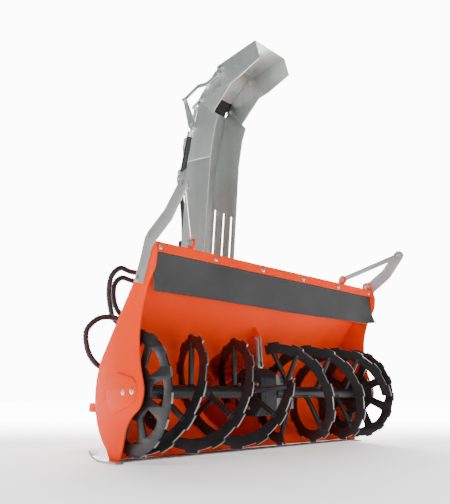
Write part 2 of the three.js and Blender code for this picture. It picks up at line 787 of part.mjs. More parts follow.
// ---------- impeller ----------
function buildImpeller() {
  const profile = [
    [0, -40],
    [11, -40],
    [11, -30],
    [15, -30],
    [15, 196],
    [20, 196],
    [20, 495],
    [17.5, 495],
    [17.5, 578],
    [15, 582],
    [0, 582],
  ].map(([radius, y]) => new THREE.Vector2(radius, y));
  const shaft = new THREE.LatheGeometry(profile, 16).translate(0, 0, IMPELLER_Z);
  const pinion = new THREE.CylinderGeometry(14.6, 11.6, 10, 16).translate(0, -34, IMPELLER_Z);
  addPart("impeller_shaft", join(shaft, pinion), bareSteel);

  const blades = [];
  for (let k = 0; k < 4; k += 1) {
    const blade = join(
      box(38, 196, 236, 436, -5, 5),
      box(150, 196, 236, 436, -5, 22),
    );
    blades.push(blade.rotateY(-radians(28 + 90 * k)).translate(0, 0, IMPELLER_Z));
  }
  const rotor = cut(
    join(
      barY(44, 232, 442, 0, IMPELLER_Z, 24),
      barY(150, 430, 438, 0, IMPELLER_Z, 32),
      ...blades,
    ),
    barY(20.3, 220, 460, 0, IMPELLER_Z, 16),
  );
  addPart("impeller_rotor", rotor, orangePaint);
}

// ---------- hitch, guard and parking leg ----------
const MAST_X = 150;
const LEG_X = -200;

function buildHitch() {
  const [y0, y1] = CROSS_TUBE_Y;
  const [z0, z1] = CROSS_TUBE_Z;

  const bracketStart = DRUM_REAR_Y + GAP + BACK_PLATE_THICKNESS + GAP;
  const post = outline([
    [y0, z1 + GAP],
    [y1 - 10, z1 + GAP],
    [y1 - 10, 600],
    [y0, 600],
    [y0, 350],
    [bracketStart, 330],
    [bracketStart, 235],
    [y0, 215],
  ]);
  const ear = outline([
    [y0, 560],
    [y1 - 10, 560],
    [y1 + 24, 596],
    [y1 + 24, 650],
    [y1 + 4, 668],
    [y1 - 20, 668],
    [y0, 620],
  ]);
  const mast = join(
    platesideYZ(post, -MAST_X - 6, -MAST_X + 6),
    platesideYZ(post, MAST_X - 6, MAST_X + 6),
    box(-MAST_X - 6, MAST_X + 6, y0, y1 - 10, 560, 600),
    platesideYZ(ear, -40, -30),
    platesideYZ(ear, 30, 40),
  );
  const topPin = [y1, 630];
  addPart("hitch_mast", cut(mast, barX(10, -80, 80, ...topPin, 16)), orangePaint);
  const pin = join(barX(9.5, -62, 62, ...topPin, 16), barX(16, -62, -54, ...topPin, 16));
  addPart("top_link_pin", pin, bareSteel);

  const plate = outline([
    [y1 - 2, z0],
    [y1 + 40, 140],
    [y1 + 62, 155],
    [y1 + 62, 185],
    [y1 + 40, 200],
    [y1 - 2, z1],
  ]);
  const bracket = join(
    platesideYZ(plate, -388, -378),
    platesideYZ(plate, -328, -318),
    barX(11, -410, -308, y1 + 38, 170, 16),
  );
  const tube = box(-CROSS_TUBE_HALF, CROSS_TUBE_HALF, y0, y1, z0, z1);
  addPart("hitch_cross_tube", join(tube, bracket, mirrorX(bracket)), orangePaint);

  const guardStart = bracketStart + 26;
  const guard = cut(
    join(barY(58, guardStart, 512, 0, IMPELLER_Z, 24)),
    barY(54, guardStart + 4, 530, 0, IMPELLER_Z, 24),
    barY(22, guardStart - 10, 530, 0, IMPELLER_Z, 16),
  );
  addPart("pto_guard", guard, blackPlastic);
}

function buildParkingLeg() {
  const start = CROSS_TUBE_Y[1] + GAP;
  const centreY = start + 24;
  const socket = cut(
    box(LEG_X - 24, LEG_X + 24, start, start + 48, 104, 222),
    box(LEG_X - 20.3, LEG_X + 20.3, centreY - 20.3, centreY + 20.3, 90, 240),
  );
  addPart("parking_leg_socket", socket, orangePaint);
  const leg = join(
    box(LEG_X - 20, LEG_X + 20, centreY - 20, centreY + 20, 6, 330),
    box(LEG_X - 55, LEG_X + 55, centreY - 45, centreY + 45, 0, 8),
  );
  addPart("parking_leg", leg, galvanised);
}

// ---------- chute turning drive ----------
function gearOutline(teeth, centreX, centreY, phase, holeRadius) {
  const pitchRadius = (GEAR_MODULE * teeth) / 2;
  const tip = pitchRadius + 4;
  const root = pitchRadius - 5.6;
  const tipHalf = 1.7;
  const rootHalf = 4.7;
  const points = [];
  for (let tooth = 0; tooth < teeth; tooth += 1) {
    const middle = radians(phase + (360 * tooth) / teeth);
    const corners = [
      [root, -rootHalf],
      [tip, -tipHalf],
      [tip, tipHalf],
      [root, rootHalf],
    ];
    for (const [radius, halfWidth] of corners) {
      const angle = middle + halfWidth / radius;
      points.push([centreX + radius * Math.cos(angle), centreY + radius * Math.sin(angle)]);
    }
  }
  const shape = outline(points);
  if (holeRadius > 0) shape.holes.push(hole(centreX, centreY, holeRadius, 32));
  return shape;
}

function buildChuteDrive() {
  const z0 = COLLAR_TOP_Z + GAP;
  const z1 = z0 + RING_THICKNESS;
  const halfTooth = 180 / RING_TEETH;
  const ring = gearOutline(RING_TEETH, 0, CHUTE_Y, halfTooth, COLLAR_INNER_RADIUS);
  addPart("chute_ring_gear", plateXY(ring, z0, z1), augerBlack);
  const pinion = join(
    plateXY(gearOutline(PINION_TEETH, PINION_X, CHUTE_Y, 0, 0), z0 + 1, z1),
    barZ(10, COLLAR_TOP_Z - 8, z1 + 8, PINION_X, CHUTE_Y, 16),
  );
  addPart("drive_pinion", pinion, bareSteel);
  const motorTop = COLLAR_TOP_Z - 8 - GAP;
  const motor = join(
    barZ(36, motorTop - 100, motorTop, PINION_X, CHUTE_Y, 20),
    box(PINION_X - 52, PINION_X - 20, CHUTE_Y - 26, CHUTE_Y + 26, motorTop - 92, motorTop - 54),
  );
  addPart("chute_motor", motor, castBlack);
}

// ---------- chute ----------
const chuteFrontY = (z) => 254 - CHUTE_LEAN * (z - CHUTE_BASE_Z);
const chuteRearY = (z) => 446 - CHUTE_LEAN * (z - CHUTE_BASE_Z);
const SEAM_FRONT_Z = 1402;
const SEAM_REAR_Z = 1438;
const UPPER_REAR_TOP = [287, 1742];
const SLOT_BOTTOM_Z = 800;
// y at the slot's bottom and z of its top, for the slots of the right wall
const SLOTS = [
  [270, 1136],
  [332, 1172],
  [406, 1210],
];

// A strip of sheet along the line from a to b in (y, z), on the side that turning left gives.
function sheetStrip(a, b, thickness) {
  const along = new THREE.Vector2(b[0] - a[0], b[1] - a[1]).normalize();
  const side = new THREE.Vector2(-along.y, along.x).multiplyScalar(thickness);
  return outline([a, b, [b[0] + side.x, b[1] + side.y], [a[0] + side.x, a[1] + side.y]]);
}

function slot(y, z0, z1) {
  const halfWidth = 5.5;
  const lean = CHUTE_LEAN * (z1 - z0);
  return new THREE.Path(
    [
      [y - halfWidth, z0],
      [y - halfWidth - lean, z1],
      [y + halfWidth - lean, z1],
      [y + halfWidth, z0],
    ].map(([u, v]) => new THREE.Vector2(u, v)),
  );
}

function buildChute() {
  const inner = CHUTE_OUTER_X - SHEET;
  const wallCorners = [
    [chuteFrontY(CHUTE_BASE_Z), CHUTE_BASE_Z],
    [chuteFrontY(SEAM_FRONT_Z), SEAM_FRONT_Z],
    [chuteRearY(SEAM_REAR_Z), SEAM_REAR_Z],
    [chuteRearY(CHUTE_BASE_Z), CHUTE_BASE_Z],
  ];
  const slotted = outline(wallCorners);
  for (const [y, top] of SLOTS) slotted.holes.push(slot(y, SLOT_BOTTOM_Z, top));
  const rearWall = sheetStrip(
    [chuteRearY(CHUTE_BASE_Z), CHUTE_BASE_Z],
    [chuteRearY(SEAM_REAR_Z), SEAM_REAR_Z],
    SHEET,
  );
  const frontPlate = sheetStrip(
    [chuteFrontY(740), 740],
    [chuteFrontY(CHUTE_BASE_Z), CHUTE_BASE_Z],
    SHEET,
  );
  const lower = join(
    ...cylinderBracket(),
    platesideYZ(outline(wallCorners), -CHUTE_OUTER_X, -inner),
    platesideYZ(slotted, inner, CHUTE_OUTER_X),
    platesideYZ(rearWall, -inner - 1, inner + 1),
    platesideYZ(frontPlate, -inner - 1, inner + 1),
  );
  addPart("chute_lower", lower, galvanised);

  const rise = GAP + 0.2;
  const hingeTop = [];
  for (let i = 0; i <= 5; i += 1) {
    const angle = radians(140 - (150 * i) / 5);
    hingeTop.push([HINGE_LOW[0] + 17 * Math.cos(angle), HINGE_LOW[1] + 17 * Math.sin(angle)]);
  }
  const upperWall = outline([
    [chuteFrontY(SEAM_FRONT_Z), SEAM_FRONT_Z + rise],
    [152, 1545],
    [124, 1608],
    [150, 1640],
    ...hingeTop,
    UPPER_REAR_TOP,
    [chuteRearY(SEAM_REAR_Z), SEAM_REAR_Z + rise],
  ]);
  const upperRear = sheetStrip([chuteRearY(SEAM_REAR_Z), SEAM_REAR_Z + rise], UPPER_REAR_TOP, SHEET);
  const upper = join(
    platesideYZ(upperWall, -CHUTE_OUTER_X, -inner),
    platesideYZ(upperWall, inner, CHUTE_OUTER_X),
    platesideYZ(upperRear, -inner - 1, inner + 1),
  );
  const cleared = cut(
    upper,
    box(-120, 120, 300, 420, SEAM_REAR_Z - 40, SEAM_REAR_Z + rise - 36 + 36 * 0.999),
  );
  addPart("chute_upper", cleared, galvanised);
}

// ---------- deflector ----------
function buildDeflector() {
  const lowInner = CHUTE_OUTER_X + 0.5;
  const lowOuter = lowInner + SHEET;
  const highInner = lowOuter + 0.5;
  const highOuter = highInner + SHEET;

  const lowWall = outline([
    [264, 1744],
    [163, 1640],
    [0, 1764],
    [60, 1878],
    [82, 1891],
    [118, 1891],
    [278, 1776],
    [282, 1764],
  ]);
  const lowTop = sheetStrip([272, 1781], [140, 1877.2], SHEET);
  const lever = outline([
    [228, 1809],
    [196, 1832],
    [240, 1822],
    [356, 1785],
    [373, 1777],
    [374, 1766],
    [362, 1759],
    [300, 1772],
  ]);
  lever.holes.push(hole(...LEVER_PIN, 5.3, 12));
  const lowDeflector = join(
    platesideYZ(lowWall, -lowOuter, -lowInner),
    platesideYZ(lowWall, lowInner, lowOuter),
    platesideYZ(lowTop, -lowOuter, lowOuter),
    platesideYZ(lever, CYLINDER_X - 20, CYLINDER_X - 14),
    platesideYZ(lever, CYLINDER_X + 14, CYLINDER_X + 20),
  );
  addPart("deflector_lower", lowDeflector, galvanised);

  const highWall = outline([
    [127, 1898],
    [127, 1872],
    [77, 1744],
    [-42, 1752],
    [-185, 1785],
    [-157, 1898],
  ]);
  const highTop = sheetStrip([84, 1895], [-157, 1895], -SHEET);
  const highDeflector = join(
    platesideYZ(highWall, -highOuter, -highInner),
    platesideYZ(highWall, highInner, highOuter),
    platesideYZ(highTop, -highOuter, highOuter),
  );
  addPart("deflector_upper", highDeflector, galvanised);

  const linkX = -highOuter - GAP;
  const link = outline([
    [410, 1811],
    [396, 1808],
    [280, 1836],
    [212, 1818],
    [108, 1830],
    [95, 1836],
    [95, 1846],
    [106, 1852],
    [206, 1841],
    [278, 1860],
    [404, 1832],
    [411, 1822],
  ]);
  addPart("deflector_link", platesideYZ(link, linkX - 6, linkX), galvanised);

  const bracket = outline([
    [388, 1826],
    [398, 1834],
    [410, 1832],
    [413, 1820],
    [364, 1640],
    [330, 1600],
    [300, 1612],
    [306, 1640],
  ]);
  const bracketX = -CHUTE_OUTER_X - GAP;
  addPart("link_bracket", platesideYZ(bracket, bracketX - 7, bracketX), galvanised);
}

// ---------- deflector cylinder ----------
const BRACKET_FOOT_Z = [1333, 1425];

function cylinderBracket() {
  const [pinY, pinZ] = BARREL_PIN;
  const [footZ, headZ] = BRACKET_FOOT_Z;
  const cheek = outline([
    [chuteRearY(footZ) - 1, footZ],
    [pinY - 4, pinZ - 16],
    [pinY + 12, pinZ - 10],
    [pinY + 12, pinZ + 10],
    [pinY - 4, pinZ + 16],
    [chuteRearY(headZ) - 1, headZ],
  ]);
  return [
    platesideYZ(cheek, CYLINDER_X - 23, CYLINDER_X - 17),
    platesideYZ(cheek, CYLINDER_X + 17, CYLINDER_X + 23),
    barX(6, CYLINDER_X - 26, CYLINDER_X + 26, ...BARREL_PIN, 12),
  ];
}

// Port elbow: a stub to the rear, then a turn straight down.
function elbow(start, reach, drop) {
  const corner = [start[0], start[1] + reach, start[2]];
  return [
    rod(start, corner, 9, 10),
    barZ(9, corner[2] - drop, corner[2] + 8, corner[0], corner[1], 10),
  ];
}

function buildCylinder() {
  const bottom = new THREE.Vector3(0, ...BARREL_PIN);
  const top = new THREE.Vector3(0, ...LEVER_PIN);
  const along = top.clone().sub(bottom).normalize();
  const at = (distance) => bottom.clone().addScaledVector(along, distance).toArray();
  const barrelLength = 262;
  const barrel = cut(
    join(
      rod(at(32), at(barrelLength), 21, 20),
      barX(14, -14, 14, ...BARREL_PIN, 16),
      rod(at(0), at(36), 9, 12),
      ...elbow(at(LOW_PORT), PORT_REACH, PORT_DROP),
      ...elbow(at(HIGH_PORT), PORT_REACH, PORT_DROP),
    ),
    barX(6.3, -30, 30, ...BARREL_PIN, 12),
    rod(at(60), at(barrelLength + 20), 10.6, 16),
  );
  addPart("cylinder_barrel", barrel.translate(CYLINDER_X, 0, 0), augerBlack);
  const length = top.distanceTo(bottom);
  const piston = join(
    rod(at(100), at(length), 10, 16),
    barX(12, -12, 12, ...LEVER_PIN, 16),
  );
  const rodWithEye = cut(piston, barX(5.3, -30, 30, ...LEVER_PIN, 12));
  addPart("cylinder_rod", rodWithEye.translate(CYLINDER_X, 0, 0), bareSteel);
}

// ---------- hoses ----------
function hose(points, steps) {
  const path = new THREE.CatmullRomCurve3(points.map((point) => new THREE.Vector3(...point)));
  const section = outline(
    [0, 1, 2, 3, 4, 5, 6, 7].map((k) => {
      const angle = radians(45 * k);
      return [HOSE_RADIUS * Math.cos(angle), HOSE_RADIUS * Math.sin(angle)];
    }),
  );
  return new THREE.ExtrudeGeometry(section, { extrudePath: path, steps, bevelEnabled: false });
}

const COUPLER_X = -292;
const COUPLER_Y = 552;
const COUPLER_HEIGHTS = [590, 545, 330, 385];
const CLAMP_Z = [960, 1010];

function buildHoses() {
  const holderX = [-262, -254];
  const holder = join(
    box(...holderX, CROSS_TUBE_Y[0] + 10, CROSS_TUBE_Y[1], CROSS_TUBE_Z[1] + GAP, 615),
    ...COUPLER_HEIGHTS.map((z) => barX(15, COUPLER_X, -215, COUPLER_Y, z, 12)),
  );
  addPart("hose_holder", holder, orangePaint);

  const clampY = chuteRearY(CLAMP_Z[0]) + GAP;
  const clamp = box(-92, -18, clampY, clampY + 40, ...CLAMP_Z);
  addPart("hose_clamp", clamp, blackPlastic);
  const [below, above] = [CLAMP_Z[0] - GAP, CLAMP_Z[1] + GAP];
  const lineY = clampY + 20;

  addPart(
    "cylinder_hose_low",
    hose(
      [
        [-70, lineY, above],
        [-70, lineY, above + 12],
        [-72, 434, 1120],
        [-68, 452, 1220],
        [-60, 482, 1320],
        [CYLINDER_X, 502.1, 1385],
        [CYLINDER_X, 502.1, 1408],
      ],
      13,
    ),
    rubberBlack,
  );
  addPart(
    "cylinder_hose_high",
    hose(
      [
        [-38, lineY, above],
        [-38, lineY, above + 12],
        [-22, 430, 1120],
        [-10, 426, 1230],
        [-8, 432, 1350],
        [-16, 454, 1455],
        [-44, 468, 1525],
        [CYLINDER_X, 454, 1570],
        [CYLINDER_X, 452.6, 1585],
      ],
      19,
    ),
    rubberBlack,
  );
  addPart(
    "swing_hose_outer",
    hose(
      [
        [-70, lineY, below],
        [-70, lineY, below - 14],
        [-82, 438, 896],
        [-135, 455, 850],
        [-240, 475, 815],
        [-360, 470, 805],
        [-422, 462, 812],
        [-465, 460, 772],
        [-472, 472, 715],
        [-448, 498, 640],
        [-400, 532, 574],
        [COUPLER_X - 20, COUPLER_Y, COUPLER_HEIGHTS[1]],
        [COUPLER_X - GAP, COUPLER_Y, COUPLER_HEIGHTS[1]],
      ],
      28,
    ),
    rubberBlack,
  );
  addPart(
    "swing_hose_inner",
    hose(
      [
        [-38, lineY, below],
        [-38, lineY, below - 14],
        [-48, 444, 896],
        [-110, 478, 828],
        [-220, 498, 784],
        [-330, 496, 768],
        [-400, 486, 771],
        [-432, 488, 738],
        [-430, 502, 696],
        [-400, 528, 640],
        [-350, 548, 600],
        [COUPLER_X - 14, COUPLER_Y, COUPLER_HEIGHTS[0]],
        [COUPLER_X - GAP, COUPLER_Y, COUPLER_HEIGHTS[0]],
      ],
      26,
    ),
    rubberBlack,
  );
  const motorSide = PINION_X - 52 - GAP;
  addPart(
    "motor_hose_outer",
    hose(
      [
        [motorSide, 338, 452],
        [motorSide - 14, 338, 452],
        [-300, 348, 478],
        [-380, 388, 540],
        [-440, 428, 564],
        [-521, 448, 561],
        [-579, 455, 502],
        [-561, 470, 420],
        [-507, 495, 366],
        [-420, 535, 338],
        [COUPLER_X - 20, COUPLER_Y, COUPLER_HEIGHTS[2]],
        [COUPLER_X - GAP, COUPLER_Y, COUPLER_HEIGHTS[2]],
      ],
      26,
    ),
    rubberBlack,
  );
  addPart(
    "motor_hose_inner",
    hose(
      [
        [motorSide, 365, 440],
        [motorSide - 14, 365, 440],
        [-300, 384, 440],
        [-350, 436, 430],
        [-366, 492, 412],
        [-350, 534, 394],
        [COUPLER_X - 14, COUPLER_Y, COUPLER_HEIGHTS[3]],
        [COUPLER_X - GAP, COUPLER_Y, COUPLER_HEIGHTS[3]],
      ],
      14,
    ),
    rubberBlack,
  );
}

buildSides();
buildPanels();
buildArms();
buildDrum();
buildGearbox();
buildAuger();
buildImpeller();
buildHitch();
buildParkingLeg();
buildChuteDrive();
buildChute();
buildDeflector();
buildCylinder();
buildHoses();

export default group;
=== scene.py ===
"""Looks of the two stage snowblower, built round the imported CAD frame.

Dimensions are millimetres in the CAD's frame (X right, Y to the tractor, Z up) and angles are
degrees; MM turns millimetres into Blender's metres where a mesh is made.
"""
import random
from math import cos, hypot, pi, radians, sin, sqrt, tan

import bmesh
import bpy
from mathutils import Matrix, Vector
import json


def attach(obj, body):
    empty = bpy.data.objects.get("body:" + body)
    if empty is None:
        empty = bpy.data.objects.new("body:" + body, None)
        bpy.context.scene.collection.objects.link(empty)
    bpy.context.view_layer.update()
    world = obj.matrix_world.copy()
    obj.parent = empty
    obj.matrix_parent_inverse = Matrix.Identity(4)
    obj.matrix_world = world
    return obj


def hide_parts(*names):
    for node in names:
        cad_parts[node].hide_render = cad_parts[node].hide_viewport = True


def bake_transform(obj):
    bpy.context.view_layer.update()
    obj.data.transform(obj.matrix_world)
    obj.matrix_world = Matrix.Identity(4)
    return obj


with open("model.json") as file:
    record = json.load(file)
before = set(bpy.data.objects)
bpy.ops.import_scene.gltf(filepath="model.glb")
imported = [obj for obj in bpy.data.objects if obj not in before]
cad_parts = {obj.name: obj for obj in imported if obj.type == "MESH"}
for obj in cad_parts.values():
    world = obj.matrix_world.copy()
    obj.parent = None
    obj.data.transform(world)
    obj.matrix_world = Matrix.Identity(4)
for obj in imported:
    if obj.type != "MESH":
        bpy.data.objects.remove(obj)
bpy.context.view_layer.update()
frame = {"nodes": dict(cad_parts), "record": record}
MM = 0.001
SCENE = bpy.context.scene
random.seed(7)

# ---------------------------------------------------------------- materials


class Nodes:
    """Shorthand for building a node tree."""

    def __init__(self, tree):
        self.tree = tree

    def feed(self, sockets, values):
        """Links each socket named to the socket given, or sets it to the value given."""
        for name, value in values.items():
            if isinstance(value, bpy.types.NodeSocket):
                self.tree.links.new(value, sockets[name])
            elif sockets[name].type == "RGBA":
                sockets[name].default_value = (*value, 1.0)
            else:
                sockets[name].default_value = value

    def add(self, kind, values, **settings):
        node = self.tree.nodes.new(kind)
        for key, value in settings.items():
            setattr(node, key, value)
        self.feed(node.inputs, values)
        return node

    def noise(self, coord, scale, detail=3.0, roughness=0.5, stretch=None):
        if stretch:
            coord = self.add("ShaderNodeMapping", {"Vector": coord, "Scale": stretch}).outputs[0]
        values = {"Vector": coord, "Scale": scale, "Detail": detail, "Roughness": roughness}
        return self.add("ShaderNodeTexNoise", values).outputs["Fac"]

    def ramp(self, fac, low, high, first, last):
        values = {"Value": fac, "From Min": low, "From Max": high, "To Min": first, "To Max": last}
        return self.add("ShaderNodeMapRange", values).outputs["Result"]

    def mix(self, fac, first, last):
        return self.add("ShaderNodeMix", {0: fac, 6: first, 7: last}, data_type="RGBA").outputs[2]

    def bump(self, *heights):
        """Bumps of (height socket, strength, distance in metres), each on the one before."""
        under = {}
        for height, strength, distance in heights:
            values = {"Height": height, "Strength": strength, "Distance": distance, **under}
            under = {"Normal": self.add("ShaderNodeBump", values).outputs["Normal"]}
        return under

    def along(self, coord, direction):
        """How far a point lies in a direction."""
        values = {0: coord, 1: direction}
        return self.add("ShaderNodeVectorMath", values, operation="DOT_PRODUCT").outputs["Value"]

    def surface(self, values):
        self.feed(self.tree.nodes["Principled BSDF"].inputs, values)


def new_material(name):
    material = bpy.data.materials.new(name)
    material.use_nodes = True
    n = Nodes(material.node_tree)
    return material, n, n.add("ShaderNodeTexCoord", {}).outputs["Object"]


def shade(color, factor):
    return tuple(min(1.0, factor * c) for c in color)


def paint(name, color, dark, roughness, coat, peel=0.1, speck=0.0, specular=0.4):
    """Sprayed paint: faint cloudiness, dust, orange peel and a thin clear coat."""
    material, n, coord = new_material(name)
    tone = n.mix(n.ramp(n.noise(coord, 5.0, 4.0, 0.6), 0.3, 0.75, 0.0, 1.0), color, dark)
    if speck:
        dust = n.noise(coord, 160.0, 5.0, 0.7)
        tone = n.mix(n.ramp(dust, 0.62, 0.8, 0.0, speck), tone, (0.22, 0.21, 0.2))
    rough = n.noise(coord, 26.0, 3.0, 0.6)
    wave, fine = n.noise(coord, 14.0, 2.0), n.noise(coord, 420.0, 2.0)
    n.surface({
        "Base Color": tone,
        "Roughness": n.ramp(rough, 0.3, 0.7, roughness - 0.05, roughness + 0.07),
        "Specular IOR Level": specular,
        "Coat Weight": coat,
        "Coat Roughness": 0.22,
        **n.bump((wave, 0.12, 0.002), (fine, peel, 0.0004)),
    })
    return material


def zinc(name, color, dark, roughness, metallic, spangle, streak=(1.0, 1.0, 0.12)):
    """Galvanised steel: crystals, soft stains and faint rolling marks."""
    material, n, coord = new_material(name)
    cells = n.add("ShaderNodeTexVoronoi", {"Vector": coord, "Scale": spangle}).outputs["Color"]
    crystal = n.add("ShaderNodeRGBToBW", {"Color": cells}).outputs["Val"]
    stain = n.noise(coord, 4.5, 4.0, 0.6, streak)
    fine = n.noise(coord, 38.0, 4.0, 0.6, streak)
    tone = n.mix(n.ramp(stain, 0.3, 0.72, 0.0, 1.0), color, dark)
    tint = n.mix(n.ramp(crystal, 0.1, 0.9, 0.0, 0.16), tone, shade(color, 1.25))
    spread = n.ramp(crystal, 0.0, 1.0, -0.05, 0.05)
    rough = n.ramp(stain, 0.3, 0.7, roughness - 0.05, roughness + 0.08)
    grain = n.noise(coord, 600.0, 2.0, 0.5, (1.0, 1.0, 0.05))
    n.surface({
        "Base Color": n.mix(n.ramp(fine, 0.45, 0.7, 0.0, 0.22), tint, dark),
        "Metallic": metallic,
        "Roughness": n.add("ShaderNodeMath", {0: spread, 1: rough}, operation="ADD").outputs[0],
        **n.bump((stain, 0.1, 0.003), (grain, 0.05, 0.0003)),
    })
    return material


def bare(name, color, roughness, scratch=0.12):
    """Machined or worn steel with fine scratches."""
    material, n, coord = new_material(name)
    brushed = n.noise(coord, 240.0, 4.0, 0.7, (1.0, 0.12, 1.0))
    patch = n.noise(coord, 30.0, 4.0, 0.6)
    tone = n.mix(n.ramp(brushed, 0.3, 0.7, 0.0, 0.5), color, shade(color, 0.55))
    n.surface({
        "Base Color": n.mix(n.ramp(patch, 0.45, 0.75, 0.0, 0.5), tone, shade(color, 0.4)),
        "Metallic": 0.9,
        "Roughness": n.ramp(patch, 0.3, 0.7, roughness - 0.08, roughness + 0.1),
        **n.bump((brushed, scratch, 0.0003)),
    })
    return material


def rubber(name, color, dust, roughness, dust_amount, specular=0.35):
    """Matt rubber with a light bloom of dust."""
    material, n, coord = new_material(name)
    haze = n.noise(coord, 3.2, 5.0, 0.62)
    wave, fine = n.noise(coord, 12.0, 3.0), n.noise(coord, 330.0, 3.0, 0.6)
    n.surface({
        "Base Color": n.mix(n.ramp(haze, 0.32, 0.72, 0.0, dust_amount), color, dust),
        "Roughness": n.ramp(haze, 0.3, 0.7, roughness - 0.08, roughness + 0.1),
        "Specular IOR Level": specular,
        **n.bump((wave, 0.12, 0.002), (fine, 0.14, 0.0004)),
    })
    return material


def grey(value, blue=0.001):
    return (value, value, value + blue)


ORANGE = paint("orange_paint", (0.97, 0.052, 0.0), (0.9, 0.043, 0.0), 0.5, 0.0, specular=0.08)
BLACK = paint("auger_black", grey(0.011), grey(0.018), 0.40, 0.05, 0.16, 0.05)
CAST = paint("cast_black", grey(0.012), grey(0.022), 0.52, 0.1, 0.55, 0.15)
GALV = zinc("galvanised", (0.56, 0.61, 0.595), (0.39, 0.43, 0.415), 0.38, 0.72, 70.0)
ZINC = zinc("zinc_arm", grey(0.40, -0.005), grey(0.34, -0.005), 0.48, 0.6, 120.0, (1.0, 1.0, 0.4))
PLATED = bare("zinc_plated", grey(0.66, -0.02), 0.3, 0.05)
STEEL = bare("bare_steel", grey(0.5, 0), 0.34)
WORN = bare("worn_edge", grey(0.34, 0), 0.42)
FLAP = rubber("flap_rubber", grey(0.035), grey(0.085, 0), 0.74, 0.5)
SEAL = rubber("seal_rubber", grey(0.012), grey(0.025, 0), 0.6, 0.5)
HOSE = rubber("hose_rubber", grey(0.010), grey(0.03, 0), 0.5, 0.4, 0.45)
PLASTIC = rubber("black_plastic", grey(0.014), grey(0.03, 0), 0.48, 0.4, 0.45)
SLOT_MATERIAL = {
    "orange_paint": ORANGE,
    "auger_black": BLACK,
    "cast_black": CAST,
    "galvanised": GALV,
    "zinc_arm": ZINC,
    "flap_rubber": FLAP,
    "hose_rubber": HOSE,
    "bare_steel": STEEL,
    "black_plastic": PLASTIC,
}
MATERIAL_SLOT = {material: slot for slot, material in SLOT_MATERIAL.items()}
MATERIAL_SLOT |= {PLATED: "bare_steel", WORN: "auger_black", SEAL: "flap_rubber"}

# ---------------------------------------------------------------- main places
SIDES = (("left", -1), ("right", 1))
GAP = 0.3
PLATE_X = 685
INNER_X = 679
AUGER_Y, AUGER_Z, AUGER_R = -85, 236, 208
AXLE = (AUGER_Y, AUGER_Z)
PANEL_X = INNER_X - GAP
HUB_Z = 250
HUB = (0, HUB_Z)
HOOD_LEAN = 37
CHUTE_AXIS, MOTOR_AXIS = (0, 350), (-180, 350)
CHUTE_LEAN = 0.084
TOP_LINK = (575, 630)
LOW_PIN, HIGH_PIN = (470, 1385), (362, 1772)
LOW_HINGE, HIGH_HINGE = (251, 1760), (91, 1872)
CYLINDER_X = -58

# ---------------------------------------------------------------- mesh tools

RIGHT, REAR, UP = Vector((1, 0, 0)), Vector((0, 1, 0)), Vector((0, 0, 1))
YZ = Matrix(((0, 0, 1, 0), (1, 0, 0, 0), (0, 1, 0, 0), (0, 0, 0, 1)))  # (y, z), thick along x
XZ = Matrix(((1, 0, 0, 0), (0, 0, -1, 0), (0, 1, 0, 0), (0, 0, 0, 1)))  # (x, z), thick along -y
XY = Matrix.Identity(4)  # (x, y), thick along z


def metres(point):
    return tuple(MM * c for c in point)


def frame_at(origin, along):
    """Matrix whose local Z runs along the given direction."""
    z = Vector(along).normalized()
    x = UP.cross(z)
    if x.length < 1e-4:
        x = RIGHT.cross(z)
    x.normalize()
    matrix = Matrix((x, z.cross(x), z)).transposed().to_4x4()
    matrix.translation = Vector(origin)
    return matrix


def evaluated_mesh(holder):
    return bpy.data.meshes.new_from_object(
        holder.evaluated_get(bpy.context.evaluated_depsgraph_get())
    )


def turned_normals(path, skip=0):
    """Tangent, normal and side at each point of a path, without twist; skip leaves out its ends."""
    normal = None
    for i in range(skip, len(path) - skip):
        tangent = (path[min(i + 1, len(path) - 1)] - path[max(i - 1, 0)]).normalized()
        if normal is None:
            normal = tangent.orthogonal().normalized()
        else:
            normal = (normal - tangent * normal.dot(tangent)).normalized()
        yield tangent, normal, tangent.cross(normal)


